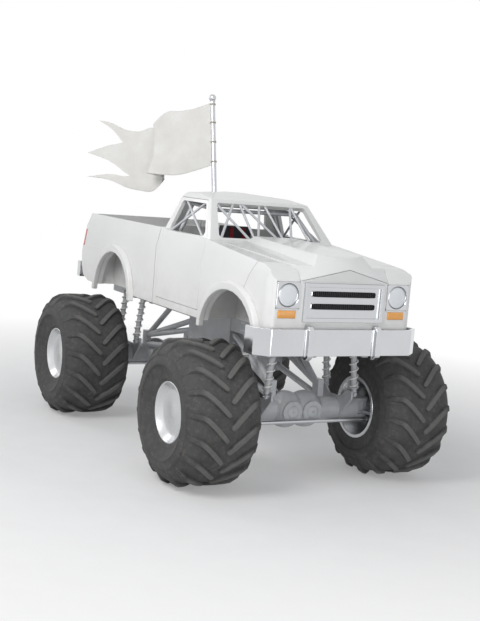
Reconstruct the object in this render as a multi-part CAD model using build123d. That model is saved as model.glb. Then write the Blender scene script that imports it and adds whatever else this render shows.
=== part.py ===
"""Monster truck: a pickup body on a high chassis with four steered, lugged tyres.

Millimetres. +X is forward, +Y is the truck's left, +Z is up. The origin is on the
ground, under the middle of the overall length and width.
"""
import os
from math import acos, asin, atan2, cos, degrees, radians, sin, tan

from build123d import *

# Overall layout
WHEELBASE = 3688
FRONT_OVERHANG = 906
REAR_OVERHANG = 1306
TRACK = 2620
TOTAL_LENGTH = FRONT_OVERHANG + WHEELBASE + REAR_OVERHANG
FRONT_END_X = TOTAL_LENGTH / 2
REAR_END_X = -TOTAL_LENGTH / 2
FRONT_AXLE_X = FRONT_END_X - FRONT_OVERHANG
REAR_AXLE_X = REAR_END_X + REAR_OVERHANG
RUNNING_GAP = 0.05
SEAT_GAP = 0.3
PANEL_GAP = 6
FLATNESS = 0.000001

# Tyres, out to the tips of their lugs
TYRE_RADIUS = 838
TYRE_WIDTH = 950
TYRE_SIDES = 18
TYRE_BORE_RADIUS = 361
TREAD_RADIUS = 797
SIDEWALL_RING_RADIUS = 530
SIDEWALL_RECESS = 20
AXLE_Z = TYRE_RADIUS
LUG_PAIRS = 18
LUG_START = 15
LUG_KNEE = 295
LUG_END = 449
LUG_SLANT = 268
LUG_HOOK = 40
LUG_HALF_WIDTH = 29
LUG_SINK = 40
LUG_END_RADIUS = 688
LUG_END_FOOT = 600
LUG_PHASE = -91.4

# Rims and hub drums
RIM_WALL = 20
RIM_FLANGE_RADIUS = 382
RIM_FLANGE = 10
RIM_MOUTH_RADIUS = 335
RIM_FLOOR_RADIUS = 270
RIM_DISH_DEPTH = 130
RIM_DISC = 55
RIM_STEP_Y = 270
RIM_BARREL_RADIUS = 300
DRUM_RADIUS = 207
DRUM_BACK_Y = 55
SPINDLE_RADIUS = 60
SPINDLE_END_Y = 295
SPINDLE_END_GAP = 5

# Steering knuckles and tie rods
KINGPIN_Y = 950
KINGPIN_RADIUS = 30
KNUCKLE_RADIUS = 70
KNUCKLE_HEIGHT = 150
KNUCKLE_FLANGE_RADIUS = 110
KNUCKLE_FLANGE = 30
EAR_GAP = 2
EAR_THICK = 38
STEER_ARM = 250
STEER_ARM_THICK = 35
STEER_ARM_DROP = 25
STUD_RADIUS = 12
TIE_ROD_DROP = 100
TIE_ROD_RADIUS = 22
EYE_RADIUS = 28
EYE_HEIGHT = 36
STUD_TIP = 8

# Axle housings
AXLE_BALL_RADIUS = 220
AXLE_BALL_LEFT_Y = 113
AXLE_BALL_RIGHT_Y = -158
AXLE_TUBE_RADIUS = 140
AXLE_TUBE_END_RADIUS = 125
AXLE_SIDES = 12
BALL_STEPS = 3
COVER_RADIUS = 130
COVER_REACH = 202
YOKE_BACK_Y = 820
YOKE_BACK = 40
YOKE_HALF_WIDTH = 70
PINION_RADIUS = 80
PINION_RISE = 30
PINION_REACH = 300
LINK_BRACKET = 130
LINK_FOOT_Z = 1120

# Dampers with coil springs, one ahead of and one behind each wheel centre
DAMPER_OFFSET_X = 300
DAMPER_TOP_Y = 500
DAMPER_TOP_Z = 2040
DAMPER_FOOT_Y = 610
DAMPER_FOOT_Z = 1060
DAMPER_EYE_RADIUS = 34
DAMPER_EYE_WIDTH = 40
DAMPER_PIN_RADIUS = 14
DAMPER_PIN_REACH = DAMPER_EYE_WIDTH / 2 + 8
DAMPER_TUBE_RADIUS = 36
DAMPER_ROD_RADIUS = 16
DAMPER_TUBE_SHARE = 0.62
DAMPER_PLATE = 24
SPRING_RADIUS = 58
SPRING_WIRE = 16
SPRING_INSET = 90
SPRING_PERCH = 12
SPRING_TURNS = 6
SPRING_STEPS = 6

# Chassis frame
RAIL_TOP_Z = 1783
RAIL_HEIGHT = 180
RAIL_WIDTH = 80
RAIL_OUTER_Y = 390
RAIL_REAR_X = REAR_END_X + 160
CROSS_WIDTH = 100
CRADLE_REAR_X = REAR_AXLE_X + 1514
CRADLE_LENGTH = 1130
CRADLE_FLOOR_Z = 1100
CRADLE_PLATE = 12
TOWER_WIDTH = 70
TOWER_THICK = 40
LINK_RADIUS = 38
LINK_Y = 330
SHAFT_Z = 1330
SHAFT_RADIUS = 45
SHAFT_FLANGE = 25
SHAFT_FLANGE_RADIUS = 72
SHAFT_HOLE_RADIUS = 65
CASE_LENGTH = 520
CASE_WIDTH = 380
CASE_HEIGHT = 400

# Body shell
BODY_HALF_WIDTH = 970
BODY_FLOOR_Z = RAIL_TOP_Z
WALL = 60
RAIL_Z = 2769
BELT_HALF_WIDTH = BODY_HALF_WIDTH - 38
CUT_MARGIN = 400
WIDE = BODY_HALF_WIDTH + CUT_MARGIN
CREASE_TAIL_Z = 2600
CREASE_NOSE_Z = 2426
COWL_X = FRONT_AXLE_X - 861
COWL_Z = 2735
CAB_LENGTH = 1298
CAB_REAR_X = COWL_X - CAB_LENGTH
NOSE_X = FRONT_AXLE_X + 786
TAIL_X = REAR_AXLE_X - 1076
TAIL_TOP_X = TAIL_X + 200
TAIL_BELLY_Z = 2200
TAIL_FOOT_X = TAIL_X + 310
CAB_BED_GAP = 16
NOSE_TOP_Z = 2600
NOSE_FRONT_Z = 2450
NOSE_CORNER_RADIUS = 110

# Greenhouse
BELT_Z = 2700
GREENHOUSE_FOOT_Z = BELT_Z - 40
GLASS_BASE_HALF_WIDTH = BODY_HALF_WIDTH - 65
ROOF_EDGE_HALF_WIDTH = GLASS_BASE_HALF_WIDTH - 205
ROOF_EDGE_Z = 3190
ROOF_SHOULDER_HALF_WIDTH = ROOF_EDGE_HALF_WIDTH - 60
ROOF_SHOULDER_Z = 3250
ROOF_TOP_Z = 3300
ROOF_REAR_Z = 3290
ROOF_FRONT_Z = 3205
ROOF_FRONT_SETBACK = 393
ROOF_REAR_SETBACK = 105
ROOF_THICK = 50

# Doors
DOOR_FRONT_X = COWL_X - 13
DOOR_REAR_X = CAB_REAR_X + 73
DOOR_BELT_SETBACK = 88
DOOR_SILL_Z = 1880
DOOR_TOP_Z = 3182
DOOR_REAR_BEVEL = 20
DOOR_FRONT_BEVEL = 14
DOOR_HINGE_INSET_X = 18
DOOR_HINGE_INSET_Y = 20
DOOR_PIN_RADIUS = 6
DOOR_PIN_REACH = 60
DOOR_HINGE_ZS = (2060, 2420)
HINGE_BOSS_RADIUS = 10
HINGE_ARM_HEIGHT = 50
WINDOW_FRAME = 40
WINDOW_RADIUS = 45
WINDOW_BAR = 30

# Hood
HOOD_REAR_HALF_WIDTH = BODY_HALF_WIDTH - 180
HOOD_FRONT_HALF_WIDTH = BODY_HALF_WIDTH - 370
HOOD_LIP_HALF_WIDTH = HOOD_FRONT_HALF_WIDTH - 30
HOOD_CREASE_SETBACK = 140
HOOD_BLOCK_REACH = 150
HOOD_THICK = 34
HOOD_BULGE_HALF_WIDTH = HOOD_FRONT_HALF_WIDTH / 2
HOOD_BULGE_SLOPE = 90
HOOD_BULGE_HEIGHT = 70
HOOD_BULGE_RAKE = 25
HOOD_HINGE_X = COWL_X + 44
HOOD_HINGE_Z = COWL_Z - 17
HOOD_LIP_X = NOSE_X + 12
HOOD_PEAK_X = NOSE_X + 72
HOOD_PEAK_Z = 2590

# Cargo bed and tailgate
BED_FLOOR_Z = 2100
BED_FLOOR = 60
BED_WALL = 66
TAILGATE_HALF_WIDTH = BODY_HALF_WIDTH - 120
TAILGATE_FOOT_Z = 2050
TAILGATE_THICK = 60
TAILGATE_PIN_RADIUS = 12
TAILGATE_PIN_INSET = 28

# Parts of the shell that take their size from how it is made
CAB_FLOOR = 60
CAB_REAR_WALL = 45
FIREWALL_REACH = 12
DOOR_REAR_RAKE = 42
DOOR_FRONT_GAP = 8
DOOR_INNER_GAP = 10
HOOD_HINGE_INSET = 10
HOOD_SLOT = 20
HOOD_PIN_RADIUS = 6
HOOD_PIN_REACH = 30
HOOD_SKIRT = 60
HOOD_SKIRT_THICK = 25
NOSE_WALL = 40
NOSE_FOOT = 330
NOSE_SEAM_FOOT = 193
NOSE_SEAM_TOP = 483
NOSE_SEAM_LOW_Z = 2190
NOSE_SEAM_HIGH_Z = 2650
APRON_THICK = 20
SHELF_Z = 2400
GATE_SILL_Z = 2028
GATE_POST = 110
TAILGATE_PIN_REACH = 60
WHEEL_HOUSE_Y = BODY_HALF_WIDTH - 280
WHEEL_HOUSE_Z = 2370
TAIL_LAMP_DEPTH = 60
TAIL_LAMP_INNER_Y = BODY_HALF_WIDTH - 90
TAIL_LAMP_BOTTOM_Z = 2280
TAIL_LAMP_TOP_Z = 2530
CAGE_RADIUS = 24
SEAT_HALF_WIDTH = 270
SEAT_BOLSTER = 65
WHEEL_RING_RADIUS = 175
WHEEL_RING_WIRE = 15
ENGINE_REAR_X = COWL_X + 70
ENGINE_LENGTH = 780
ENGINE_HALF_WIDTH = 300
ENGINE_HEIGHT = 640

# Wheel arches: distance of the arch centre from the axle, outer and inner half-axes
ARCH_BASE_Z = 1710
ARCH_FLARE = 65
ARCH_SIDES = 32
ARCH_TAPER = 0.97
FRONT_ARCH_OFFSET = -47
REAR_ARCH_OFFSET = 223
FRONT_ARCH_OUTER = (735, 632)
FRONT_ARCH_INNER = (640, 519)
REAR_ARCH_OUTER = (695, 717)
REAR_ARCH_INNER = (600, 595)

# Bumpers, grille and lamps
BUMPER_FRONT_X = FRONT_END_X - 50
BUMPER_THICK = 40
BUMPER_HALF_WIDTH = BODY_HALF_WIDTH + 115
BUMPER_SIDE = 330
BUMPER_CORNER = 130
BUMPER_BOTTOM_Z = 1623
BUMPER_TOP_Z = 1926
GUARD_Y = 450
GUARD_WIDTH = 76
GUARD_BOTTOM_Z = 1577
GUARD_TOP_Z = 1964
GUARD_TAPER = 45
REAR_BUMPER_BOTTOM_Z = 1800
REAR_BUMPER_TOP_Z = 2030
REAR_BUMPER_HALF_WIDTH = BODY_HALF_WIDTH - 10
REAR_BUMPER_DEPTH = 160
GRILLE_HALF_WIDTH = HOOD_FRONT_HALF_WIDTH - 69
GRILLE_BOTTOM_Z = 1999
GRILLE_TOP_Z = 2432
LAMP_Y = BODY_HALF_WIDTH - 239
LAMP_Z = 2290
LAMP_RADIUS = 118
LAMP_GROOVE = 12
LAMP_SIDES = 24
LAMP_BEZEL = 300
INDICATOR_WIDTH = 230
INDICATOR_BOTTOM_Z = 2035
INDICATOR_TOP_Z = 2122

GRILLE_PROUD = 30
GRILLE_BORDER = 45
GRILLE_RECESS = 30
GRILLE_SLOT_SHARES = (0.4, 0.72)
GRILLE_SLOT_HEIGHT = 62
LAMP_PROUD = 12

# Flag and pole
POLE_PAD = 8
POLE_PLATE = 14
POLE_PLATE_RADIUS = 46
POLE_BALL_RADIUS = 50
POLE_SIDES = 12
POLE_FOOT_X = CAB_REAR_X - 131
POLE_FOOT_Z = BED_FLOOR_Z + BED_FLOOR + POLE_PAD
POLE_RAKE = 12.4
POLE_LENGTH = 2422
POLE_RADIUS = 34
FLAG_THICK = 30
FLAG_STATIONS = (
    # back from the pole, to the left of it, height of the top edge, height of the bottom edge
    (0, 0, 4467, 3625),
    (-140, -200, 4386, 3545),
    (-300, -360, 4304, 3462),
    (-460, -470, 4252, 3430),
    (-625, -600, 4190, 3415),
    (-700, -450, 4180, 3370),
    (-850, -540, 4060, 3190),
    (-1000, -660, 4000, 3180),
    (-1350, -980, 4100, 3290),
    (-1590, -1180, 4120, 3265),
)


def box(x_low, x_high, y_low, y_high, z_low, z_high):
    """A block given by its lowest and highest corners."""
    centre = ((x_low + x_high) / 2, (y_low + y_high) / 2, (z_low + z_high) / 2)
    return Pos(*centre) * Box(x_high - x_low, y_high - y_low, z_high - z_low)


def side_prism(outline, y_low, y_high, radius=0):
    """An outline of (x, z) points, extruded across the truck."""
    points = [(x, y_low, z) for x, z in outline]
    if radius:
        face = make_face(FilletPolyline(*points, radius=radius, close=True))
    else:
        face = make_face(Polyline(*points, close=True))
    return extrude(face, amount=y_high - y_low, dir=(0, 1, 0))


def front_prism(outline, x_low, x_high):
    """An outline of (y, z) points, extruded along the truck."""
    points = [(x_low, y, z) for y, z in outline]
    return extrude(make_face(Polyline(*points, close=True)), amount=x_high - x_low, dir=(1, 0, 0))


def plan_prism(outline, z_low, z_high, radius=0):
    """An outline of (x, y) points, extruded upwards."""
    points = [(x, y, z_low) for x, y in outline]
    if radius:
        face = make_face(FilletPolyline(*points, radius=radius, close=True))
    else:
        face = make_face(Polyline(*points, close=True))
    return extrude(face, amount=z_high - z_low, dir=(0, 0, 1))


def tube(start, end, radius):
    """A round pin, spindle or bore, which something turns on or in."""
    axis = Vector(*end) - Vector(*start)
    return Solid.make_cylinder(radius, axis.length, Plane(origin=start, z_dir=axis))


def bar(start, end, radius, sides=8):
    """A straight bar with flat sides, which keeps its facets few."""
    axis = Vector(*end) - Vector(*start)
    plane = Plane(origin=start, z_dir=axis)
    outline = RegularPolygon(radius, sides, rotation=180 / sides)
    return extrude(plane * outline, amount=axis.length)


def flat_faces(first, second, third, fourth):
    """The four-sided gap between two rows as one flat face, or as two where it is twisted."""
    normal = (second - first).cross(fourth - first)
    if abs(normal.dot(third - first)) < FLATNESS * normal.length:
        return [Face(Wire.make_polygon([first, second, third, fourth]))]
    return [
        Face(Wire.make_polygon([first, second, third])),
        Face(Wire.make_polygon([first, third, fourth])),
    ]


def skin(rows, ring=False):
    """A solid with flat faces over rows of points; each row is one closed outline."""
    rows = [[Vector(point) for point in row] for row in rows]
    following = rows[1:] + rows[:1] if ring else rows[1:]
    faces = []
    for row, after in zip(rows, following):
        for index in range(len(row)):
            beside = (index + 1) % len(row)
            faces += flat_faces(row[index], row[beside], after[beside], after[index])
    if not ring:
        for row in (rows[0], rows[-1]):
            faces += flat_faces(*row) if len(row) == 4 else [Face(Wire.make_polygon(row))]
    return Solid(Shell(faces))


def lathe(profile, sides, ring=False):
    """A turned shape about the Y axis with flat sides, from (radius, distance along Y) pairs."""
    rows = []
    for radius, far in profile:
        row = []
        for index in range(sides):
            turn = radians(360 * (index + 0.5) / sides)
            row.append((radius * cos(turn), far, radius * sin(turn)))
        rows.append(row)
    return skin(rows, ring)


def joined(pieces):
    """One shape fused from a list of pieces."""
    first = pieces[0]
    return first.fuse(*pieces[1:]) if len(pieces) > 1 else first


def mirrored(shape):
    """The same shape on the other side of the truck."""
    return mirror(shape, about=Plane.XZ)


def both_sides(shape):
    return [shape, mirrored(shape)]


def save(name, shapes):
    """Write one node from one shape or a list of separate ones."""
    solids = []
    for shape in shapes if isinstance(shapes, (list, tuple)) else [shapes]:
        solids.extend(shape.solids())
    whole = solids[0] if len(solids) == 1 else Compound(solids)
    export_step(whole, f"parts/{name}.step")


def arch_points(centre_x, half_axes, scale=1):
    """Points of a wheel arch's ellipse, as (x, z), joined by straight edges."""
    points = []
    for index in range(ARCH_SIDES):
        turn = radians(360 * index / ARCH_SIDES)
        x = centre_x + half_axes[0] * scale * cos(turn)
        points.append((x, ARCH_BASE_Z + half_axes[1] * scale * sin(turn)))
    return points


def ellipse_arch(centre_x, half_axes, y_low, y_high):
    """A full elliptical prism about the foot line of a wheel arch."""
    return side_prism(arch_points(centre_x, half_axes), y_low, y_high)


# Wheels, knuckles and tie rods, made at the left front and moved to each corner

def lug(side, phase):
    """One tread lug: a slanting bar that turns over the shoulder."""
    stations = (
        # outwards from the middle plane, round the tread, foot radius, top radius
        (LUG_START, 0, TREAD_RADIUS - LUG_SINK, TYRE_RADIUS),
        (LUG_KNEE, LUG_SLANT, TREAD_RADIUS - LUG_SINK, TYRE_RADIUS),
        (LUG_END, LUG_SLANT + LUG_HOOK, LUG_END_FOOT, LUG_END_RADIUS),
    )
    middle = radians(phase) + LUG_SLANT / 2 / TYRE_RADIUS
    inwards = Vector(-cos(middle), 0, -sin(middle))
    rows = []
    for index, (off, around, foot, top) in enumerate(stations):
        before = stations[max(index - 1, 0)]
        after = stations[min(index + 1, len(stations) - 1)]
        along = Vector(after[0] - before[0], after[1] - before[1]).normalized()
        tops = []
        for share in (-LUG_HALF_WIDTH, LUG_HALF_WIDTH):
            wide = off - along.Y * share
            turn = radians(phase) + (around + along.X * share) / TYRE_RADIUS
            tops.append(Vector(top * cos(turn), side * wide, top * sin(turn)))
        feet = [point + inwards * (top - foot) for point in tops]
        rows.append((feet[0], tops[0], tops[1], feet[1]))
    return skin(rows)


def tyre():
    """Lugged tyre about its own centre, axle along Y."""
    half = TYRE_WIDTH / 2
    bead = half - SIDEWALL_RECESS
    outer = (
        # radius, distance from the middle plane
        (TREAD_RADIUS, half - 205),
        (TREAD_RADIUS - 92, half - 45),
        (SIDEWALL_RING_RADIUS + 30, half),
        (SIDEWALL_RING_RADIUS, bead),
        (TYRE_BORE_RADIUS, bead),
    )
    profile = outer + tuple((radius, -far) for radius, far in reversed(outer))
    carcass = lathe(profile, TYRE_SIDES, ring=True)
    lugs = []
    for side, stagger in ((1, 0), (-1, 0.5)):
        for index in range(LUG_PAIRS):
            lugs.append(lug(side, LUG_PHASE + 360 * (index + stagger) / LUG_PAIRS))
    return carcass.fuse(*lugs)


def rim():
    """Deep-dish rim with its hub drum, about the wheel centre, outer face towards +Y."""
    seat_radius = TYRE_BORE_RADIUS - SEAT_GAP
    barrel_radius = seat_radius - RIM_WALL
    bead = TYRE_WIDTH / 2 - SIDEWALL_RECESS + SEAT_GAP
    edge = bead + RIM_FLANGE
    floor = TYRE_WIDTH / 2 - RIM_DISH_DEPTH
    outline = (
        # radius, distance outwards
        (RIM_FLOOR_RADIUS, floor),
        (RIM_MOUTH_RADIUS, edge),
        (RIM_FLANGE_RADIUS, edge),
        (RIM_FLANGE_RADIUS, bead),
        (seat_radius, bead),
        (seat_radius, -bead),
        (RIM_FLANGE_RADIUS, -bead),
        (RIM_FLANGE_RADIUS, -edge),
        (barrel_radius, -edge),
        (RIM_BARREL_RADIUS, -RIM_STEP_Y),
        (RIM_BARREL_RADIUS, floor - RIM_DISC),
        (DRUM_RADIUS, floor - RIM_DISC),
        (DRUM_RADIUS, -DRUM_BACK_Y),
    )
    whole = lathe(outline, TYRE_SIDES)
    bore_end = SPINDLE_END_Y + SPINDLE_END_GAP
    return whole - tube((0, -DRUM_BACK_Y - 1, 0), (0, bore_end, 0), SPINDLE_RADIUS + RUNNING_GAP)


def knuckle():
    """Left knuckle about its wheel centre: barrel, spindle and forward steering arm."""
    pivot_y = KINGPIN_Y - TRACK / 2
    flange_end = -DRUM_BACK_Y - EAR_GAP
    flange_start = flange_end - KNUCKLE_FLANGE
    half = KNUCKLE_HEIGHT / 2
    arm_top = -STEER_ARM_DROP
    arm_bottom = arm_top - STEER_ARM_THICK
    root = KNUCKLE_RADIUS * 0.6
    arm_outline = (
        (0, pivot_y - root),
        (STEER_ARM, pivot_y - EYE_RADIUS),
        (STEER_ARM, pivot_y + EYE_RADIUS),
        (0, pivot_y + root),
    )
    stud_low = -TIE_ROD_DROP - EYE_HEIGHT / 2 - STUD_TIP
    pieces = [
        bar((0, pivot_y, -half), (0, pivot_y, half), KNUCKLE_RADIUS),
        bar((0, pivot_y, 0), (0, flange_start, 0), SPINDLE_RADIUS),
        bar((0, flange_start, 0), (0, flange_end, 0), KNUCKLE_FLANGE_RADIUS),
        tube((0, flange_end, 0), (0, SPINDLE_END_Y, 0), SPINDLE_RADIUS),
        plan_prism(arm_outline, arm_bottom, arm_top),
        bar((STEER_ARM, pivot_y, arm_bottom), (STEER_ARM, pivot_y, arm_top), EYE_RADIUS),
        tube((STEER_ARM, pivot_y, stud_low), (STEER_ARM, pivot_y, arm_bottom), STUD_RADIUS),
    ]
    body = joined(pieces)
    bore = tube((0, pivot_y, -half - 1), (0, pivot_y, half + 1), KINGPIN_RADIUS + RUNNING_GAP)
    return body - bore


def tie_rod():
    """Rod between both steering arms, about the axle's centre."""
    z_low = -TIE_ROD_DROP - EYE_HEIGHT / 2
    z_high = -TIE_ROD_DROP + EYE_HEIGHT / 2
    ends = [(STEER_ARM, side * KINGPIN_Y, -TIE_ROD_DROP) for side in (-1, 1)]
    pieces = [bar(*ends, TIE_ROD_RADIUS, 6)]
    for side in (-1, 1):
        y = side * KINGPIN_Y
        pieces.append(bar((STEER_ARM, y, z_low), (STEER_ARM, y, z_high), EYE_RADIUS))
    rod = joined(pieces)
    for side in (-1, 1):
        y = side * KINGPIN_Y
        bore = tube((STEER_ARM, y, z_low - 10), (STEER_ARM, y, z_high + 10), STUD_RADIUS + RUNNING_GAP)
        rod = rod - bore
    return rod


def ball_rows(centre_y, first, last):
    """Rows of one axle ball as (radius, y), between two angles from its left pole."""
    rows = []
    for step in range(BALL_STEPS + 1):
        turn = radians(first + (last - first) * step / BALL_STEPS)
        rows.append((AXLE_BALL_RADIUS * sin(turn), centre_y + AXLE_BALL_RADIUS * cos(turn)))
    return rows


def axle_housing():
    """The axle's two balls and its tapering tubes, as one turned shape."""
    apart = (AXLE_BALL_LEFT_Y - AXLE_BALL_RIGHT_Y) / 2
    meeting = degrees(acos(-apart / AXLE_BALL_RADIUS))
    neck = degrees(asin(AXLE_TUBE_RADIUS / AXLE_BALL_RADIUS))
    rows = [(AXLE_TUBE_END_RADIUS, YOKE_BACK_Y)]
    rows += ball_rows(AXLE_BALL_LEFT_Y, neck, meeting)
    rows += ball_rows(AXLE_BALL_RIGHT_Y, 180 - meeting, 180 - neck)[1:]
    rows.append((AXLE_TUBE_END_RADIUS, -YOKE_BACK_Y))
    return lathe(rows, AXLE_SIDES)


def axle(inwards):
    """Axle housing about its own centre; inwards is the sign of X towards the cradle."""
    half = KNUCKLE_HEIGHT / 2
    ear_low = half + EAR_GAP
    ear_high = ear_low + EAR_THICK
    foot_z = DAMPER_FOOT_Z - AXLE_Z
    plate_outer_y = DAMPER_FOOT_Y - DAMPER_TUBE_RADIUS - DAMPER_PLATE / 2
    plate_inner_y = plate_outer_y - DAMPER_PLATE
    wing = DAMPER_OFFSET_X + 50
    plate_outline = (
        (-wing, foot_z - 50),
        (-wing, foot_z + 45),
        (-wing + 100, foot_z + 45),
        (-120, AXLE_TUBE_RADIUS + 20),
        (120, AXLE_TUBE_RADIUS + 20),
        (wing - 100, foot_z + 45),
        (wing, foot_z + 45),
        (wing, foot_z - 50),
        (130, -60),
        (-130, -60),
    )
    half_housing = [
        box(-YOKE_HALF_WIDTH, YOKE_HALF_WIDTH, YOKE_BACK_Y - 5, YOKE_BACK_Y + YOKE_BACK, -ear_high, ear_high),
        side_prism(plate_outline, plate_inner_y, plate_outer_y),
    ]
    for sign in (-1, 1):
        z_pair = sorted((sign * ear_low, sign * ear_high))
        half_housing.append(
            box(-YOKE_HALF_WIDTH, YOKE_HALF_WIDTH, YOKE_BACK_Y, KINGPIN_Y, *z_pair)
        )
        ear = bar((0, KINGPIN_Y, z_pair[0]), (0, KINGPIN_Y, z_pair[1]), YOKE_HALF_WIDTH / cos(radians(22.5)))
        half_housing.append(ear)
        pin_x = sign * DAMPER_OFFSET_X
        pin_start = (pin_x, plate_inner_y, foot_z)
        pin_end = (pin_x, DAMPER_FOOT_Y + DAMPER_PIN_REACH, foot_z)
        half_housing.append(bar(pin_start, pin_end, DAMPER_PIN_RADIUS, 6))
    half_housing.append(tube((0, KINGPIN_Y, -ear_low), (0, KINGPIN_Y, ear_low), KINGPIN_RADIUS))
    bracket_ends = sorted((0, inwards * LINK_BRACKET))
    bracket_ys = (LINK_Y - LINK_RADIUS, LINK_Y + LINK_RADIUS)
    half_housing.append(box(*bracket_ends, *bracket_ys, -60, LINK_FOOT_Z + 60 - AXLE_Z))
    sides = []
    for piece in half_housing:
        sides += both_sides(piece)
    pinion_y = (AXLE_BALL_LEFT_Y + AXLE_BALL_RIGHT_Y) / 2
    nose = bar((0, pinion_y, PINION_RISE), (inwards * PINION_REACH, pinion_y, PINION_RISE), PINION_RADIUS)
    covers = []
    for y in (AXLE_BALL_LEFT_Y, AXLE_BALL_RIGHT_Y):
        covers.append(bar((0, y, 0), (-inwards * COVER_REACH, y, 0), COVER_RADIUS, AXLE_SIDES))
    return joined([axle_housing(), nose] + covers + sides)


def shaft_lines():
    """Ends of both drive shafts' tubes, at the transfer case and at the axle."""
    centre = CRADLE_REAR_X + CRADLE_LENGTH / 2
    shaft_y = (AXLE_BALL_LEFT_Y + AXLE_BALL_RIGHT_Y) / 2
    lines = []
    for _, axle_x, inwards in axle_ends():
        case_x = centre - inwards * (CASE_LENGTH / 2 + SHAFT_FLANGE)
        pinion_x = axle_x + inwards * (PINION_REACH + SHAFT_FLANGE)
        lines.append(((case_x, shaft_y, SHAFT_Z), (pinion_x, shaft_y, AXLE_Z + PINION_RISE)))
    return lines


def wheel_corners():
    """Node suffix, axle place and side of each wheel."""
    return (
        ("front_left", FRONT_AXLE_X, 1),
        ("front_right", FRONT_AXLE_X, -1),
        ("rear_left", REAR_AXLE_X, 1),
        ("rear_right", REAR_AXLE_X, -1),
    )


def axle_ends():
    """Name, place and inward direction of each axle."""
    return (("front", FRONT_AXLE_X, -1), ("rear", REAR_AXLE_X, 1))


def save_running_gear():
    tyre_shape = tyre()
    rim_shape = rim()
    knuckle_shape = knuckle()
    for suffix, axle_x, side in wheel_corners():
        place = Pos(axle_x, TRACK / 2, AXLE_Z)
        for name, shape in (("tyre", tyre_shape), ("rim", rim_shape), ("knuckle", knuckle_shape)):
            moved = place * shape
            save(f"{name}_{suffix}", moved if side > 0 else mirrored(moved))
    rod_shape = tie_rod()
    for end, axle_x, inwards in axle_ends():
        place = Pos(axle_x, 0, AXLE_Z)
        save(f"{end}_axle", place * axle(inwards))
        save(f"tie_rod_{end}", place * rod_shape)


# Dampers, springs, links and drive line

def damper_line(axle_x, sign):
    """Foot and top centres of one left-hand damper."""
    foot = Vector(axle_x + sign * DAMPER_OFFSET_X, DAMPER_FOOT_Y, DAMPER_FOOT_Z)
    top = Vector(axle_x + sign * DAMPER_OFFSET_X, DAMPER_TOP_Y, DAMPER_TOP_Z)
    return foot, top


def spring_ends(foot, top):
    """Where a damper's spring starts and ends."""
    axis = (top - foot).normalized()
    return foot + axis * SPRING_INSET, top - axis * SPRING_INSET


def damper(axle_x, sign):
    """One left-hand damper with its eyes and the spring's two perches."""
    foot, top = damper_line(axle_x, sign)
    axis = (top - foot).normalized()
    length = (top - foot).length
    tube_end = foot + axis * length * DAMPER_TUBE_SHARE
    perch_low, perch_high = spring_ends(foot, top)
    pieces = [
        bar(foot + axis * DAMPER_EYE_RADIUS * 0.6, tube_end, DAMPER_TUBE_RADIUS),
        bar(tube_end, top, DAMPER_ROD_RADIUS, 6),
        bar(perch_low - axis * SPRING_PERCH, perch_low, SPRING_RADIUS),
        bar(perch_high, perch_high + axis * SPRING_PERCH, SPRING_RADIUS),
    ]
    for centre in (foot, top):
        reach = Vector(0, DAMPER_EYE_WIDTH / 2, 0)
        pieces.append(bar(centre - reach, centre + reach, DAMPER_EYE_RADIUS, 6))
    whole = joined(pieces)
    for centre in (foot, top):
        reach = Vector(0, DAMPER_EYE_WIDTH, 0)
        whole = whole - bar(centre - reach, centre + reach, DAMPER_PIN_RADIUS + RUNNING_GAP, 6)
    return whole


def spring(axle_x, sign):
    """One left-hand coil spring: a three-sided wire wound in flat steps, its end turns level."""
    low, high = spring_ends(*damper_line(axle_x, sign))
    plane = Plane(origin=low, x_dir=(1, 0, 0), z_dir=high - low)
    rise = (high - low).length - SPRING_WIRE
    outer = SPRING_RADIUS - 2
    inner = outer - SPRING_WIRE * 0.7
    steps = SPRING_TURNS * SPRING_STEPS
    level = SPRING_STEPS - 1
    rows = []
    for index in range(steps + 1):
        turn = radians(360 * index / SPRING_STEPS)
        share = (index - level) / (steps - 2 * level)
        height = SPRING_WIRE / 2 + rise * min(max(share, 0), 1)
        row = []
        for radius, lift in ((outer, 0), (inner, SPRING_WIRE / 2), (inner, -SPRING_WIRE / 2)):
            row.append(plane.from_local_coords((radius * cos(turn), radius * sin(turn), height + lift)))
        rows.append(row)
    return skin(rows)


def save_suspension():
    dampers = []
    springs = []
    for axle_x in (FRONT_AXLE_X, REAR_AXLE_X):
        for sign in (-1, 1):
            dampers += both_sides(damper(axle_x, sign))
            springs += both_sides(spring(axle_x, sign))
    save("dampers", dampers)
    save("springs", springs)


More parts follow.
